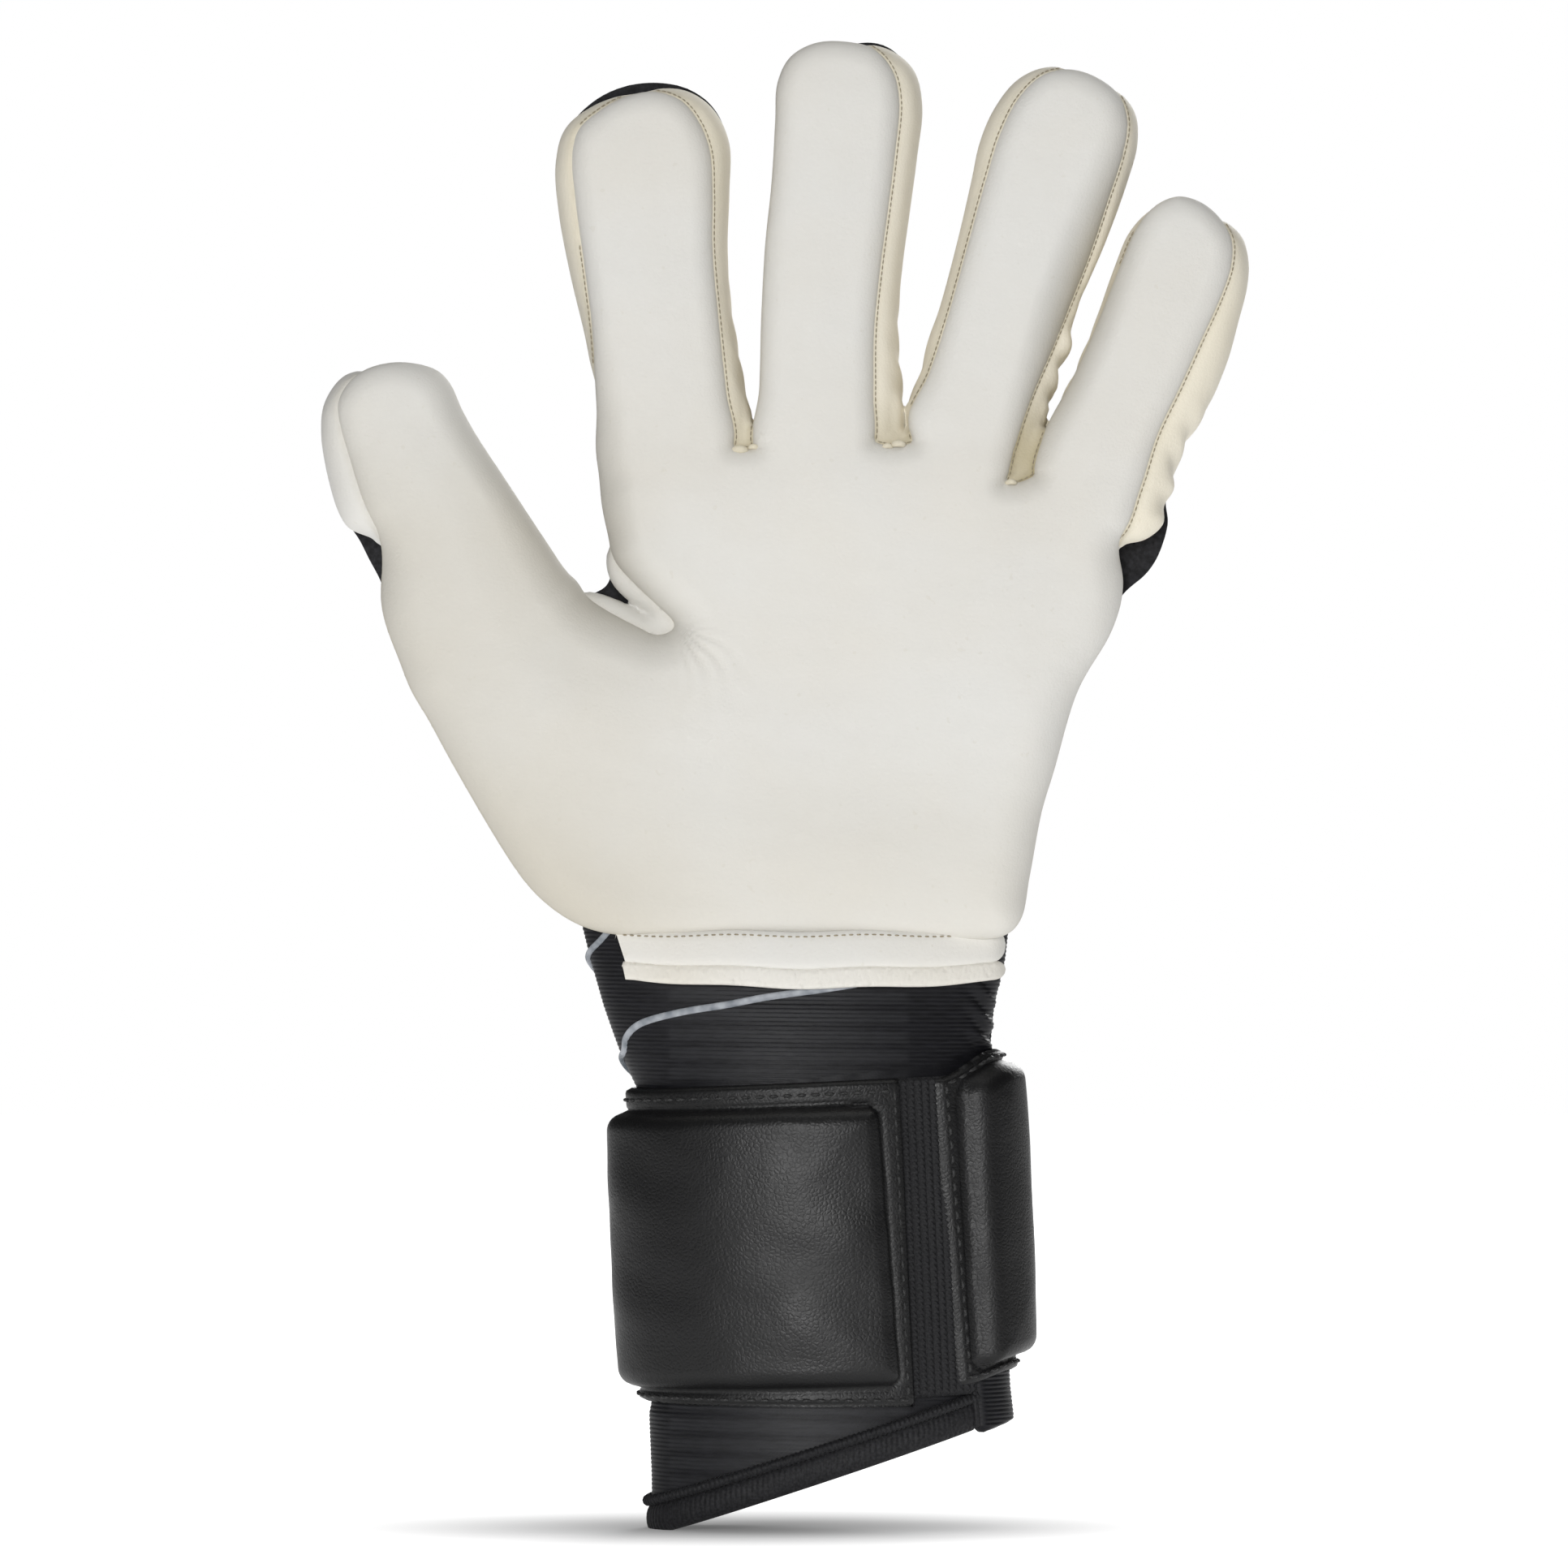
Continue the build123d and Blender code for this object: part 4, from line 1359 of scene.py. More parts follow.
def stitch_row(path: np.ndarray, outward: np.ndarray, pitch: float = 3.1, length: float = 2.1,
               radius: float = 0.4) -> Skin:
    """Lay a row of thread stitches along a path.

    Args:
        path: points of the row.
        outward: direction away from the fabric, one a point.
        pitch: distance from stitch to stitch.
        length: length of a stitch.
        radius: half the thickness of the thread.

    Returns:
        The stitches as one surface.
    """
    run = travelled(path)
    stitches = []
    for start in np.arange(pitch / 2, run[-1] - length, pitch):
        spots = start + np.linspace(0, length, 6)
        line = np.stack([np.interp(spots, run, path[:, n]) for n in range(3)], 1)
        lift = np.stack([np.interp(spots, run, outward[:, n]) for n in range(3)], 1)
        arch = np.sin(np.linspace(0, np.pi, 6))[:, None] * 0.36 - 0.1
        stitches.append(tube(line + lift * arch, radius, 6, up=lift[3]))
    return join(stitches)


@dataclass
class Cuff:
    """Rib knit sleeve with its bound hand opening and its tab."""

    low: float = -15.0
    high: float = 126.0
    wall: float = 1.8
    rib_pitch: float = 0.95
    rib_height: float = 0.16
    binding_height: float = 6.8
    binding_rise: float = 1.4
    binding_lift: float = 0.9
    rope_radius: float = 1.15
    tab_span: tuple[float, float] = (-33.0, 22.0)
    tab_top: float = 27.0
    hidden: tuple[int, int] = (32, 97)
    panel: tuple[float, float] = (-37.0, 17.4)

    front_line: tuple[tuple[float, float], ...] = (
        (150, 85.0), (166, 87.6), (180, 90.6), (194, 92.8), (201, 95.8), (213.4, 99.0),
        (233, 101.7), (248, 103.3), (261, 105.1), (276, 106.7), (287, 108.0),
    )
    thumb_side_line: tuple[tuple[float, float], ...] = (
        (146, 105.0), (162, 109.0), (176, 112.6), (187, 114.4), (201, 117.0), (210, 119.8),
        (215, 121.5),
    )

    heights: tuple[float, ...] = (-16, 2, 12, 18, 60, 84, 92, 103, 113, 127)
    left: tuple[float, ...] = (-40.2, -40.6, -40.6, -39.4, -41.2, -43.4, -47.0, -51.0, -54.0, -57.4)
    right: tuple[float, ...] = (39.6, 38.8, 38.4, 37.7, 35.6, 34.5, 34.9, 36.2, 38.4, 40.0)
    depths: tuple[float, ...] = (20.4, 20.4, 20.2, 20.0, 20.0, 19.0, 18.0, 16.2, 14.6, 11.5)

    def oval(self, turn: np.ndarray | float, z: np.ndarray, level: np.ndarray | float = 0.0
             ) -> np.ndarray:
        """Find places on the sleeve.

        Args:
            turn: degrees round the sleeve.
            z: height in the glove's frame.
            level: distance outside the sleeve's face.

        Returns:
            Points, with x, y and z last.
        """
        turn, z, level = np.broadcast_arrays(np.radians(turn), z, level)
        left = np.interp(z, self.heights, self.left)
        right = np.interp(z, self.heights, self.right)
        deep = np.interp(z, self.heights, self.depths)
        x = (left + right) / 2 + ((right - left) / 2 + level) * np.cos(turn)
        return np.stack([x, (deep + level) * np.sin(turn), z], -1)

    def mouth_height(self, turn: np.ndarray) -> np.ndarray:
        """Height of the hand opening round the sleeve."""
        slope = np.tan(np.radians(ARM.mouth_slope))
        reach = np.array(self.right[1]) * np.cos(np.radians(turn))
        return (reach - 0.6) * slope * 0.97 + 0.3

    def folds(self, x: np.ndarray, z: np.ndarray) -> np.ndarray:
        """Soft pressed folds beside the little-finger edge of the sleeve."""
        near = np.exp(-(((x - 33.5) / 3.2) ** 2))
        near = near * smooth_step(88, 92, z) * smooth_step(112, 108, z)
        return 0.55 * near * np.sin(1.15 * z + 1.1 * x)

    def build_sleeve(self, finishes: Finishes) -> bpy.types.Object:
        """Knit the sleeve as one closed tube with real ribs."""
        turns = np.linspace(0, 360, 260, endpoint=False)
        fine = np.arange(0, 1, 1 / 4) * self.rib_pitch
        hidden_low, hidden_high = self.hidden
        visible = np.concatenate([np.arange(0, hidden_low, self.rib_pitch),
                                  np.arange(hidden_high, self.high - self.low, self.rib_pitch)])
        rows = np.unique(np.concatenate([(visible[:, None] + fine).ravel(),
                                         np.arange(hidden_low, hidden_high, 3.0)]))
        share = rows / (self.high - self.low)
        start = self.mouth_height(turns) + 1.0
        z = start[:, None] + share[None, :] * (self.high - start)[:, None]
        spot = self.oval(turns[:, None], z)
        phase = spot[..., 2] + 0.012 * spot[..., 0]
        rib = np.abs(np.sin(np.pi * phase / self.rib_pitch))
        soft = 0.25 * ripple(spot[..., 0], z, 34, 21) + self.folds(spot[..., 0], z) * (
            spot[..., 1] < 0)
        level = rib * self.rib_height + soft * smooth_step(0, 6, z - start[:, None])
        outer = self.oval(turns[:, None], z, level)
        skin = slab(outer, self.oval(turns[:, None], z[:, ::6], -self.wall), closed_u=True)
        stripe = 0.5 + 0.5 * np.sin(skin.points[:, 2] * 1.45 + 0.6 * np.sin(
            skin.points[:, 0] * 0.05))
        across, depth = skin.points[:, 0], skin.points[:, 1]
        left, right = self.panel
        middle = smooth_step(left, left + 1.4, across) * smooth_step(right, right - 1.4, across)
        middle = middle * (depth < 0)
        tint = 0.003 + 0.02 * middle * smooth_step(0.2, 0.5, stripe)
        piece = make_piece("cuff_sleeve_knit", skin, finishes.knit, tint)
        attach(piece, "hand")
        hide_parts("cuff_sleeve")
        return piece

    def stripe(self, name: str, points: Sequence[tuple[float, float]], half: float,
               finishes: Finishes) -> bpy.types.Object:
        """Lay a raised grey line over the front of the sleeve.

        Args:
            name: name of the piece.
            points: (degrees, z) places along the line.
            half: half the width of the line.
            finishes: the glove's materials.

        Returns:
            The piece.
        """
        line = open_curve(points, 0.7)
        spots = self.oval(line[:, 0], line[:, 1], 0.32)
        outward = self.oval(line[:, 0], line[:, 1], 1.3) - spots
        outward /= np.linalg.norm(outward, axis=1, keepdims=True)
        skin = tube(spots, half, 12, flat=0.38, up=(0, 1, 0))
        piece = make_piece(name, skin, finishes.stripe)
        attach(piece, "hand")
        return piece

    def build_binding(self, finishes: Finishes) -> list[bpy.types.Object]:
        """Bind the hand opening with a ribbed tape under a rope-like ridge."""
        turns = np.linspace(self.tab_span[1], 360 + self.tab_span[0], 760)
        profile = np.linspace(0, 2 * np.pi, 22, endpoint=False)
        rim = self.oval(turns, self.mouth_height(turns), 0.0)
        run = travelled(rim)
        rib = np.abs(np.sin(np.pi * run / 1.25))[:, None]
        outside = np.clip(np.cos(profile), -0.2, 1)[None, :]
        taper = np.clip(np.minimum(run, run[-1] - run) / 1.2, 0.2, 1)[:, None]
        lift = -0.7 + (self.binding_lift + 0.8) * np.cos(profile)[None, :] * taper
        lift = lift + 0.22 * rib * outside
        rise = self.mouth_height(turns)[:, None] + self.binding_height / 2 * np.sign(
            np.sin(profile)) * np.abs(np.sin(profile)) ** 0.9 * taper + self.binding_rise
        tape = make_piece("cuff_binding_tape", grid_skin(self.oval(
            turns[:, None], rise, lift), closed_v=True), finishes.binding)
        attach(tape, "hand")
        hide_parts("cuff_binding")
        ridge = self.oval(turns, self.mouth_height(turns) + self.binding_height / 2
                          + self.binding_rise + 0.6, 0.75)
        wrap = self.rope_radius * (1 + 0.13 * np.sin(2 * np.pi * run / 1.1))
        rope = make_piece("cuff_edge_overlock", tube(ridge, wrap, 10), finishes.binding)
        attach(rope, "hand")
        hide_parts("cuff_edge_cord")
        return [tape, rope]

    def build_tab(self, finishes: Finishes) -> list[bpy.types.Object]:
        """Sew on the knit tab beside the end of the binding."""
        turns = np.linspace(self.tab_span[0] - 2, self.tab_span[1] + 2, 90)
        rows = np.linspace(0, 1, 110)
        low = self.mouth_height(turns)[:, None] - 3.0
        corner = 2.6 * smooth_step(5, -2, np.minimum(turns - turns[0], turns[-1] - turns))
        z = low + corner[:, None] + rows[None, :] * (self.tab_top - low - corner[:, None])
        rib = 0.15 * np.abs(np.sin(np.pi * z / self.rib_pitch))
        edge = np.minimum(rows, 1 - rows)[None, :] * 34
        side = np.minimum(turns - turns[0], turns[-1] - turns)[:, None] * 0.62
        level = 1.7 * np.sqrt(smooth_step(0, 2.4, np.minimum(edge + 0.2, side))) + rib
        outer = self.oval(turns[:, None], z, level + 0.2)
        tab = make_piece("cuff_tab_knit", slab(outer, self.oval(turns[:, None], z, -0.6)),
                         finishes.knit)
        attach(tab, "hand")
        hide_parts("cuff_tab")
        foot = float(self.mouth_height(np.array(self.tab_span[0]))) - 1.5
        seam = self.oval(self.tab_span[0] - 2.4, np.linspace(foot, self.tab_top - 1.0, 40), 1.0)
        cover = make_piece("cuff_tab_seam", tube(seam, 0.7, 8), finishes.binding)
        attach(cover, "hand")
        return [tab, cover]

    def build(self, finishes: Finishes) -> list[bpy.types.Object]:
        """Build every piece of the cuff."""
        lines = [self.stripe("cuff_stripe_front", self.front_line, 0.8, finishes),
                 self.stripe("cuff_stripe_thumb_side", self.thumb_side_line, 0.7, finishes)]
        return [self.build_sleeve(finishes), *lines, *self.build_binding(finishes),
                *self.build_tab(finishes)]


@dataclass
class PalmHem:
    """The folded latex band below the palm and the raw foam edge under it."""

    left: float = -48.4
    right: float = 38.6
    centre: float = -7.6
    half_width: float = 46.5

    def turn_at(self, x: np.ndarray) -> np.ndarray:
        """Degrees round the sleeve of places across the hem."""
        return -np.degrees(np.arccos(np.clip((x - self.centre) / self.half_width, -0.999, 0.999)))

    def strip(self, low: float, high: float, lift: float, cant: float, rough: float,
              round_end: float, sag: tuple[float, float], start: float, cuff: Cuff) -> Skin:
        """Shape one flat strip that follows the wrist.

        Args:
            low: lower edge.
            high: upper edge.
            lift: how far it stands out of the cuff.
            cant: how far its left end slants.
            rough: size of the crumbs on its face.
            round_end: radius of the right end.
            sag: how far its lower and upper edge hang down in the middle.
            start: how far its left end is set back.
            cuff: the cuff it lies on.

        Returns:
            The closed strip.
        """
        u = np.linspace(0, 1, 300)[:, None]
        v = np.linspace(0, 2 * np.pi, 34, endpoint=False)[None, :]
        middle, half = (low + high) / 2, (high - low) / 2
        rise = np.sign(np.sin(v)) * np.abs(np.sin(v)) ** 0.62
        left = self.left + start
        x = left + u * (self.right - left)
        x = x - cant * (rise - 1) / 2 * (1 - smooth_step(0, 0.25, u))
        end = np.clip((self.right - x) / round_end, 0, 1)
        shut = np.sqrt(np.maximum(1 - (1 - end) ** 2, 0.001)) * np.clip(
            (x - left) / 0.6 + 0.35, 0, 1)
        hang = (sag[0] * (1 - rise) + sag[1] * (1 + rise)) / 2
        hang = hang * (1 - np.clip(((x + 2) / 42) ** 2, 0, 1))
        z = middle + 0.25 * np.sin(x * 0.21) + half * rise * shut - hang
        rest = cuff.oval(self.turn_at(x), z)[..., 1]
        face = lift * np.sign(np.cos(v)) * np.abs(np.cos(v)) ** 0.5 * shut
        grain = rough * ripple(x, z, 1.7, 31) * ripple(x, z, 2.6, 32) * (np.cos(v) > 0)
        y = rest - lift * 0.7 - face - grain
        return grid_skin(np.stack([x + 0 * v, y, z], -1), closed_v=True)

    def build(self, finishes: Finishes, cuff: Cuff) -> list[bpy.types.Object]:
        """Build the band, the raw edge and their seams.

        Args:
            finishes: the glove's materials.
            cuff: the cuff they lie on.

        Returns:
            The pieces.
        """
        band = make_piece("palm_hem_band_skin", self.strip(
            112.6, 119.8, 1.9, 2.4, 0.0, 3.2, (1.2, 0.0), 0.0, cuff), finishes.palm)
        edge = make_piece("palm_hem_edge_skin", self.strip(
            108.8, 112.9, 1.6, 0.9, 0.3, 2.6, (1.8, 1.2), 1.5, cuff), finishes.edge)
        for piece, node in ((band, "palm_hem_band"), (edge, "palm_hem_edge")):
            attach(piece, "hand")
            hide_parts(node)
        x = np.linspace(self.left + 1.0, self.right - 1.6, 160)
        z = 118.7 + 0.25 * np.sin(x * 0.21)
        line = np.stack([x, cuff.oval(self.turn_at(x), z)[:, 1] - 3.2, z], 1)
        ahead = np.tile([0.0, -1.0, 0.0], (len(x), 1))
        stitches = make_piece("palm_hem_stitches", stitch_row(line, ahead, 1.7, 1.0, 0.17),
                              finishes.seam_thread)
        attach(stitches, "hand")
        return [band, edge, stitches]


@dataclass(frozen=True)
class Panel:
    """One sewn panel of the strap: a flat stitched hem round a puffed pad."""

    name: str
    span: tuple[float, float]
    low: float
    high: float
    pad: tuple[float, float, float, float] | None
    base: float
    row: tuple[tuple[float, float], ...]
    hem: float = 1.5
    puff: float = 4.2
    radius: float = 4.2
    flare: tuple[float, float] = (0.0, 0.0)
    taper: tuple[float, float, float] = (0.0, 0.0, 0.0)
    tilt: float = 0.0
    corner: float = 2.0
    dip: tuple[float, float] = (0.0, 0.0)
    seed: int = 5

    def height(self, u: np.ndarray, v: np.ndarray) -> np.ndarray:
        """Distance along the forearm for shares of the panel's width and height."""
        drop = 1 - smooth_step(0.0, 0.36, u)
        low = self.low - self.flare[0] * (u - 0.5) - self.dip[0] * drop
        high = self.high + self.flare[1] * (u - 0.5) - self.dip[1] * drop
        return low + v * (high - low)

    def arc(self) -> float:
        """Length of the panel round the forearm."""
        turns = np.linspace(*self.span, 120)
        path = ARM.point(turns, 50.0, self.base)
        return float(np.linalg.norm(np.diff(path, axis=0), axis=1).sum())

    def size(self) -> tuple[float, float]:
        """Length round the forearm and height."""
        return self.arc(), self.high - self.low

    def turns_at(self, distance: np.ndarray) -> np.ndarray:
        """Degrees round the forearm at distances along the panel."""
        turns = np.linspace(*self.span, 400)
        path = ARM.point(turns, 50.0, self.base)
        run = travelled(path)
        return np.interp(distance, run, turns)

    def level(self, s: np.ndarray, t: np.ndarray, length: float, tall: float) -> np.ndarray:
        """Height of the panel's face above its base.

        Args:
            s: distance from its first end.
            t: distance from its lower edge.
            length: length of the panel.
            tall: height of the panel.

        Returns:
            The thickness there.
        """
        edge = np.minimum(np.minimum(s, length - s), np.minimum(t, tall - t))
        face = self.hem * np.sqrt(np.clip(edge / 0.9, 0, 1))
        face = face + 0.12 * ripple(s, t, 17, self.seed) * smooth_step(0, 3, edge)
        if self.pad is None:
            return face + 0.25 * ripple(s, t, 40, self.seed + 1) * smooth_step(0, 6, edge)
        left, right, under, over = self.pad
        left = left + self.taper[0] * t / tall
        right = right + self.taper[1] * t / tall
        under = under + self.taper[2] * s / length
        inset = np.stack(np.broadcast_arrays(s - left, length - right - s, t - under,
                                             tall - over - t))
        far = self.corner + 0.6
        outside = np.sqrt((np.maximum(far - inset, 0) ** 2).sum(0))
        inset = np.where(outside > 0, far - outside, inset.min(0))
        inset = inset + 0.12 * ripple(s, t, 15, self.seed + 2)
        slope_in = np.clip(inset / self.radius, 0, 1)
        puffed = self.puff * np.sqrt(1 - (1 - slope_in) ** 2)
        crown = 0.9 * (1 - np.exp(-np.maximum(inset, 0) / 12))
        dents = 0.13 * ripple(s, t, 21, self.seed + 3) * smooth_step(0, 8, inset)
        groove = -0.6 * np.exp(-((inset / 0.8) ** 2))
        return face + np.where(inset > 0, puffed + crown + dents, 0) + groove

    def skin(self, step: float = 0.62) -> Skin:
        """Shape the whole panel as a closed surface."""
        length, tall = self.size()
        s = np.linspace(0, length, int(length / step))[:, None]
        t = np.linspace(0, tall, int(tall / step))[None, :]
        if self.pad is not None:
            left, right, under, _ = self.pad
            near = np.minimum(s / left, (length - s) / (length - left)) * self.taper[0]
            far = np.minimum((length - s) / right, s / (length - right)) * self.taper[1]
            low = np.minimum(t / under, (tall - t) / (tall - under)) * self.taper[2]
            s, t = s + (near - far) * t / tall, t + low * s / length
        turn = self.turns_at(s + self.tilt * (1 - t / tall) * (1 - s / length))
        height = self.height(s / length, t / tall)
        outer = ARM.point(turn, height, self.base + self.level(s, t, length, tall))
        return slab(outer, ARM.point(turn, height, self.base))

    def seam(self) -> Skin:
        """Stitch along the panel's row; its negative places count from the far edges."""
        length, tall = self.size()
        corners = np.array(self.row, float)
        corners = np.where(corners < 0, corners + (length, tall), corners)
        spots = []
        for a, b in zip(corners, corners[1:]):
            count = max(2, int(np.linalg.norm(b - a)))
            spots.append(a + (b - a) * np.linspace(0, 1, count, endpoint=False)[:, None])
        line = np.vstack(spots + [corners[-1:]])
        shift = self.tilt * (1 - line[:, 1] / tall) * (1 - line[:, 0] / length)
        turn = self.turns_at(line[:, 0] + shift)
        height = self.height(line[:, 0] / length, line[:, 1] / tall)
        level = self.base + self.level(line[:, 0], line[:, 1], length, tall)
        path = ARM.point(turn, height, level)
        outward = ARM.point(turn, height, level + 1) - path
        return stitch_row(path, outward / np.linalg.norm(outward, axis=1, keepdims=True))


@dataclass
class Strap:
    """The wrist strap: anchor, front panel, elastic, side panel and closing flap."""

    front: Panel = Panel("strap_front", (159.2, 312.5), 15.7, 86.5, (1.5, 4.0, 2.6, 5.4), 2.4,
                         ((1.0, -2.7), (-2.1, -2.7), (-2.1, 1.5), (1.0, 1.5)),
                         flare=(4.0, 0.0), taper=(0.0, 2.2, 2.0))
    side: Panel = Panel("strap_side", (326.0, 393.4), 20.0, 91.4, (3.4, 2.2, 3.2, 2.6), 2.4,
                        ((-1.0, -1.3), (1.7, -1.3), (1.7, 1.8), (-1.0, 1.8)),
                        taper=(2.0, 0.0, 0.0), tilt=3.0, radius=4.2, corner=3.0,
                        dip=(2.4, 5.6), seed=15)
    anchor: Panel = Panel("strap_anchor", (98.0, 158.8), 17.5, 86.2, None, 1.4,
                          ((2, 2), (-2, 2), (-2, -2), (2, -2), (2, 2)), hem=1.6, seed=25)
    flap: Panel = Panel("strap_flap", (390.6, 492.0), 19.0, 87.0, None, 4.9,
                        ((1.0, 2.4), (-2.4, 2.4), (-2.4, -2.4), (1.0, -2.4)), hem=2.6, seed=35,
                        flare=(-3.0, -3.0))
    flap_turn: float = 399.5
    elastic_span: tuple[float, float] = (309.5, 336.0)
    elastic_rise: tuple[float, float] = (15.6, 86.4)
    patch_rise: tuple[float, float] = (21.5, 79.5)

    @staticmethod
    def hinge_line(turn: float, half: float, level: float = 2.6) -> tuple[Vector, Vector]:
        """Ends of the stretch that bends round a turn line of the strap.

        Args:
            turn: degrees round the forearm.
            half: half the length of the stretch.
            level: distance outside the cuff.

        Returns:
            Start and end point, in metres.
        """
        spot = ARM.point(turn, 50.0, level)
        ahead = ARM.point(turn + 1, 50.0, level) - ARM.point(turn - 1, 50.0, level)
        ahead = ahead / np.linalg.norm(ahead) * half
        return Vector((spot - ahead) * MM), Vector((spot + ahead) * MM)

    def build_panel(self, panel: Panel, finishes: Finishes) -> list[bpy.types.Object]:
        """Build a leather panel and its stitches.

        Args:
            panel: the panel's shape.
            finishes: the glove's materials.

        Returns:
            The pieces.
        """
        made = [make_piece(f"{panel.name}_panel", panel.skin(), finishes.leather),
                make_piece(f"{panel.name}_stitches", panel.seam(), finishes.thread)]
        for piece in made:
            if panel is self.flap:
                start, end = self.hinge_line(self.flap_turn, 4.5)
                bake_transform(piece)
            else:
                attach(piece, "hand" if panel is self.anchor else panel.name)
        if panel.pad is None:
            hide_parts(panel.name)
        else:
            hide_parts(*(f"{panel.name}_{layer}" for layer in
                                   ("backing", "pad", "cover")))
        return made

    def build_elastic(self, finishes: Finishes) -> bpy.types.Object:
        """Weave the ribbed elastic between front and side panel."""
        turns = np.linspace(*self.elastic_span, 96)[:, None]
        low, high = self.elastic_rise
        heights = np.linspace(low, high, 300)[None, :]
        path = ARM.point(turns[:, 0], 50.0, 2.6)
        run = travelled(path)
        column = run[:, None] / 1.75
        cord = np.abs(np.sin(np.pi * column))
        lean = np.where((column % 1) < 0.5, 1, -1) * 0.35 * np.sin(np.pi * (column % 1))
        loop = 0.5 + 0.5 * np.sin(2 * np.pi * (heights / 1.35 + lean + 0.5 * np.floor(column)))
        level = 2.1 + 0.7 * np.sqrt(cord) + 0.38 * loop * cord
        edge = np.minimum(heights - low, high - heights)
        level = level - 0.8 * (1 - smooth_step(0, 0.8, edge))
        outer = ARM.point(turns, heights, level)
        skin = slab(outer, ARM.point(turns, heights, 1.2))
        piece = make_piece("strap_elastic_weave", skin, finishes.elastic)
        start, end = self.hinge_line(312.6, 4.0)
        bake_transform(piece)
        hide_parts("strap_elastic")
        return piece

    def build_closure(self, finishes: Finishes) -> list[bpy.types.Object]:
        """Make the loop patch on the anchor and the hook patch under the flap."""
        made = []
        low, high = self.patch_rise
        for name, span, level, body, node in (
            ("loop_patch_pile", (101.0, 150.0), 3.1, "hand", "loop_patch"),
            ("hook_patch_pile", (461.0, 489.0), 4.3, "strap_flap", "hook_patch"),
        ):
            turns = np.linspace(*span, 130)[:, None]
            heights = np.linspace(low, high, 110)[None, :]
            edge = np.minimum(np.minimum(turns - span[0], span[1] - turns) * 0.7,
                              np.minimum(heights - low, high - heights))
            tufts = 0.22 * ripple(turns * 0.7, heights, 1.5, 41)
            face = 0.75 * np.sqrt(np.clip(edge / 0.8, 0, 1)) + tufts * (edge > 0.5)
            outer = ARM.point(turns, heights, level + face)
            skin = slab(outer, ARM.point(turns, heights, level - 0.3))
            piece = make_piece(name, skin, finishes.closure)
            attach(piece, body)
            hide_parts(node)
            made.append(piece)
        return made

    def build(self, finishes: Finishes) -> list[bpy.types.Object]:
        """Build every piece of the strap."""
        made = []
        for panel in (self.front, self.side, self.anchor, self.flap):
            made += self.build_panel(panel, finishes)
        return made + [self.build_elastic(finishes), *self.build_closure(finishes)]


@dataclass
class Lining:
    """Thin fabric inside the hand: one sheet under the palm and one under the back."""

    thickness: float = 0.9
    margin: float = 4.0
    unstretched: float = 0.985
    rise: tuple[float, float] = (121.0, 221.0)
    digit_gap: float = 11.0

    def sheet(self, hand: Hand, middle: float) -> Skin:
        """Shape one lining sheet.

        Args:
            hand: the hand that it lines.
            middle: its place between palm and back.

        Returns:
            The closed sheet.
        """
        def field(x: np.ndarray, y: np.ndarray, z: np.ndarray) -> np.ndarray:
            """Field of the sheet: negative inside."""
            inset = np.minimum(hand.pads.at(x, z), hand.sides.at(x, z)) - self.margin
            edge = np.maximum(-inset, np.maximum(z - self.rise[1], self.rise[0] - z))
            for digit in DIGITS:
                across = digit.frame_of(x, z)[0]
                edge = np.maximum(edge, np.minimum(digit.past_hinge(x, z) + self.digit_gap,
                                                   digit.reach + 3 - np.abs(across)))
            return np.maximum(np.abs(y - middle) - self.thickness / 2, edge)

        return net_surface(field, (-112, middle - 2.0, 117), (72, middle + 2.0, 224), 1.0)

    def build(self, finishes: Finishes, hand: Hand) -> list[bpy.types.Object]:
        """Build both lining sheets.

        Args:
            finishes: the glove's materials.
            hand: the hand that they line.

        Returns:
            The pieces.
        """
        made = []
        for name, middle, node, outside in (
            ("palm_lining_sheet", -7.8, "palm_lining", "palm_latex_skin"),
            ("backhand_lining_sheet", 6.0, "backhand_lining", "backhand_body_skin"),
        ):
            skin = self.sheet(hand, middle)
            piece = make_piece(name, skin, finishes.lining)
            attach(piece, "hand")
            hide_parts(node)
            made.append(piece)
        return made


# ---------------------------------------------------------------- camera, light and floor


@dataclass(frozen=True)
class Lamp:
    """A soft rectangular light: its place, what it aims at, its size and its power."""

    name: str
    place: tuple[float, float, float]
    aim: tuple[float, float, float]
    wide: float
    tall: float
    power: float

    def hang(self) -> None:
        """Hang the light."""
        lamp = bpy.data.lights.new(self.name, "AREA")
        lamp.shape, lamp.energy = "RECTANGLE", self.power
        lamp.size, lamp.size_y = self.wide, self.tall
        light = bpy.data.objects.new(self.name, lamp)
        light.location = self.place
        way = Vector(self.aim) - Vector(self.place)
        light.rotation_euler = way.to_track_quat("-Z", "Y").to_euler()
        bpy.context.scene.collection.objects.link(light)


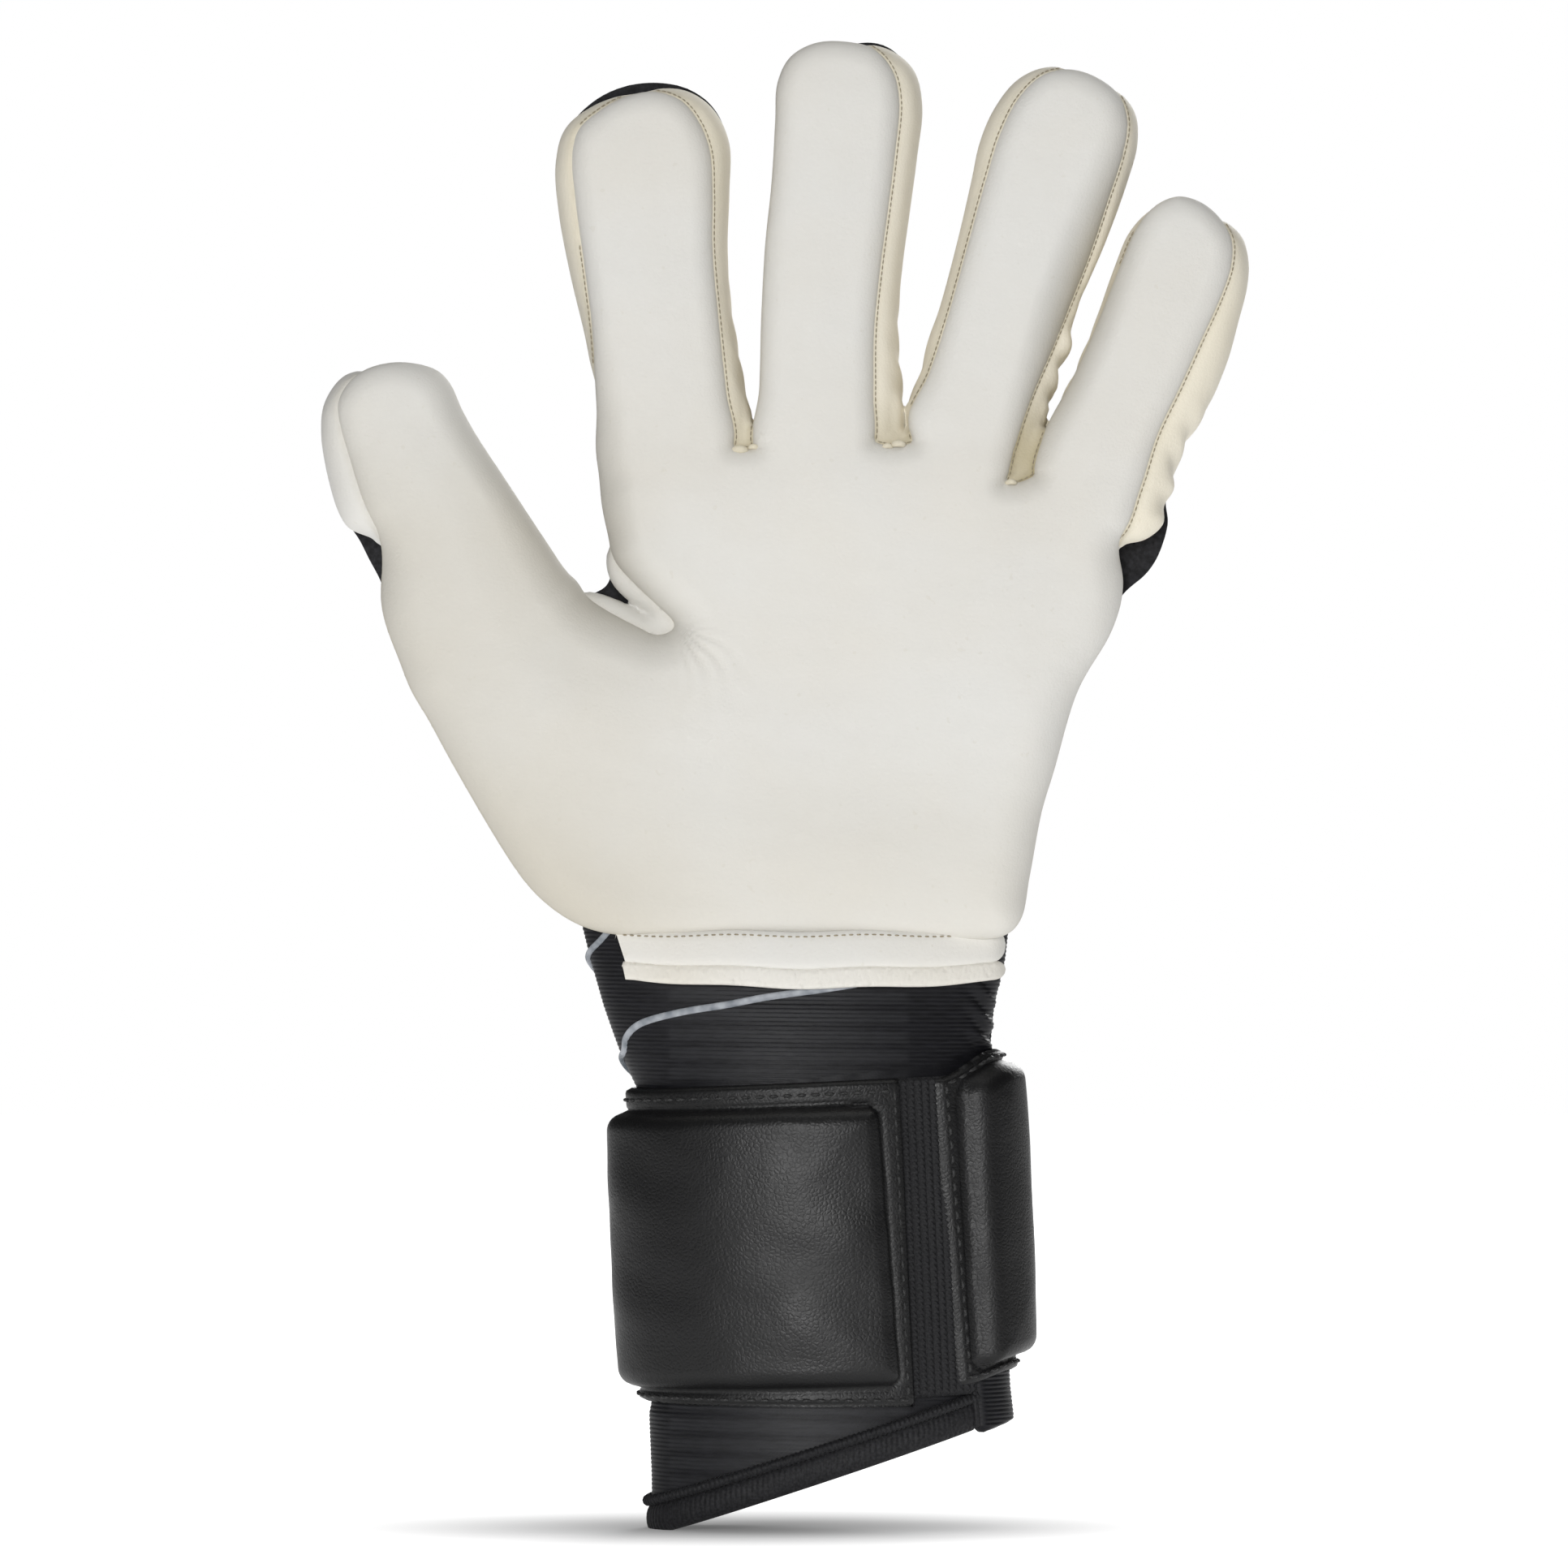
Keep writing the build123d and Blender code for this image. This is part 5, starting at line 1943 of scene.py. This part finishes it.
@dataclass
class Studio:
    """Pale floor, soft light and the camera."""

    floor_height: float = -13.6
    distance: float = 2.4
    field_width: float = 0.3478
    centre: tuple[float, float] = (-0.0108, 0.1523)
    front_plane: float = -0.014
    sensor: float = 36.0
    ambient: float = 0.12
    floor_half: float = 3.0
    lamps: tuple[Lamp, ...] = (
        Lamp("front_light", (-0.3, -2.7, 0.42), (-0.02, 0, 0.14), 0.42, 1.1, 48.0),
        Lamp("side_light", (-1.05, -2.4, 0.12), (-0.02, 0, 0.1), 0.36, 1.0, 4.0),
        Lamp("top_light", (0.1, -0.1, 1.6), (0, 0, 0.1), 1.0, 1.0, 5.0),
        Lamp("back_light", (0.7, 1.9, 0.9), (0, 0, 0.14), 0.9, 0.9, 22.0),
    )

    def build_floor(self) -> None:
        """Lay the pale floor. It glows though it is no lamp: its painted glow dims in an oval under
        the glove into a painted contact shadow, and dims towards the front and the sides.
        """
        mesh = bpy.data.meshes.new("floor")
        mesh.from_pydata([(x * self.floor_half, y * self.floor_half, self.floor_height * MM)
                          for x, y in ((-1, -1), (1, -1), (1, 1), (-1, 1))], [], [(0, 1, 2, 3)])
        floor = bpy.data.objects.new("floor", mesh)
        bpy.context.scene.collection.objects.link(floor)
        bench, shader = new_finish("floor_finish", 0.9, 0.1)
        shade = bench.ramp(bench.noise(3, 2), 0.2, 0.8, (0.48, 0.48, 0.48), (0.52, 0.52, 0.52))
        bench.link(shade, shader.inputs["Base Color"])
        # painted glow: the floor emits white light of its own
        shader.inputs["Emission Color"].default_value = (1, 1, 1, 1)
        spot = bench.add("TexCoord").outputs["Object"]
        # painted contact shadow: the glow is dimmed in an oval round the glove's lowest tip
        oval = bench.add("Mapping", {0: spot}, in_1=(0.018, 0.0, 0.0), in_3=(1.0, 1.6, 1.0))
        reach = bench.add("VectorMath", {0: oval.outputs[0]}, operation="LENGTH").outputs["Value"]
        painted_shadow_oval = bench.add("MapRange", {0: reach}, interpolation_type="SMOOTHSTEP",
                         in_1=0.0, in_2=0.13, in_3=0.08, in_4=1.0)
        split = bench.add("SeparateXYZ", {0: spot})
        # painted shading: the glow dims towards the front of the floor
        painted_glow_front_falloff = bench.add("MapRange", {0: split.outputs["Y"]}, interpolation_type="SMOOTHSTEP",
                         in_1=-0.34, in_2=-0.14, in_3=0.28, in_4=1.0)
        # painted shading: the glow also dims towards the far sides
        far = bench.add("Math", {0: split.outputs["X"]}, operation="ABSOLUTE")
        sides = bench.add("MapRange", {0: far.outputs[0]}, interpolation_type="SMOOTHSTEP",
                          in_1=0.5, in_2=0.8, in_3=1.0, in_4=0.3)
        both = bench.add("Math", {0: painted_shadow_oval.outputs[0], 1: painted_glow_front_falloff.outputs[0]}, operation="MULTIPLY")
        every = bench.add("Math", {0: both.outputs[0], 1: sides.outputs[0]}, operation="MULTIPLY")
        bench.link(every.outputs[0], shader.inputs["Emission Strength"])
        mesh.materials.append(bench.owner)

    def build_light(self) -> None:
        """Hang the soft lights and set the pale surroundings."""
        world = bpy.data.worlds.new("studio")
        world.use_nodes = True
        bench, shader = NodeBench(world), world.node_tree.nodes["Background"]
        spot = bench.add("TexCoord").outputs["Generated"]
        split = bench.add("SeparateXYZ", {0: spot})
        level = bench.add("Math", {0: split.outputs["Z"]}, operation="ABSOLUTE")
        depth = bench.add("MapRange", {0: level.outputs[0]}, in_1=0.08, in_2=0.1, in_3=1.0,
                          in_4=self.ambient)
        ahead = bench.add("Math", {0: split.outputs["Y"]}, operation="ABSOLUTE")
        band = bench.add("MapRange", {0: ahead.outputs[0]}, in_1=0.9, in_2=0.98, in_3=0.35,
                         in_4=1.0)
        both = bench.add("Math", {0: depth.outputs[0], 1: band.outputs[0]}, operation="MULTIPLY")
        bench.link(both.outputs[0], shader.inputs[1])
        shader.inputs[0].default_value = (1, 1, 1, 1)
        bpy.context.scene.world = world
        for lamp in self.lamps:
            lamp.hang()

    def build_camera(self) -> None:
        """Stand the camera level in front of the palm."""
        data = bpy.data.cameras.new("camera")
        data.sensor_width = self.sensor
        data.lens = self.sensor * self.distance / self.field_width
        data.clip_start, data.clip_end = 0.05, 20
        camera = bpy.data.objects.new("camera", data)
        camera.location = (self.centre[0], self.front_plane - self.distance, self.centre[1])
        camera.rotation_euler = (np.pi / 2, 0, 0)
        bpy.context.scene.collection.objects.link(camera)
        bpy.context.scene.camera = camera
        bpy.context.scene.view_settings.view_transform = "Standard"

    def build(self) -> None:
        """Set up floor, light and camera."""
        self.build_floor()
        self.build_light()
        self.build_camera()


def main() -> None:
    """Build the glove, one sub-assembly after another."""
    logging.basicConfig(level=logging.INFO, format="%(message)s")
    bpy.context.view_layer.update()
    Studio().build()
    finishes = Finishes.make()
    hand = Hand()
    for step in (hand.build_front, hand.build_sides, hand.build_seams, hand.build_nubs,
                 hand.build_back):
        for piece in step(finishes):
            LOG.info("built %s", piece.name)
    cuff = Cuff()
    pieces = cuff.build(finishes) + PalmHem().build(finishes, cuff) + Strap().build(finishes)
    for piece in pieces + Lining().build(finishes, hand):
        LOG.info("built %s", piece.name)


if __name__ == "__main__":
    main()
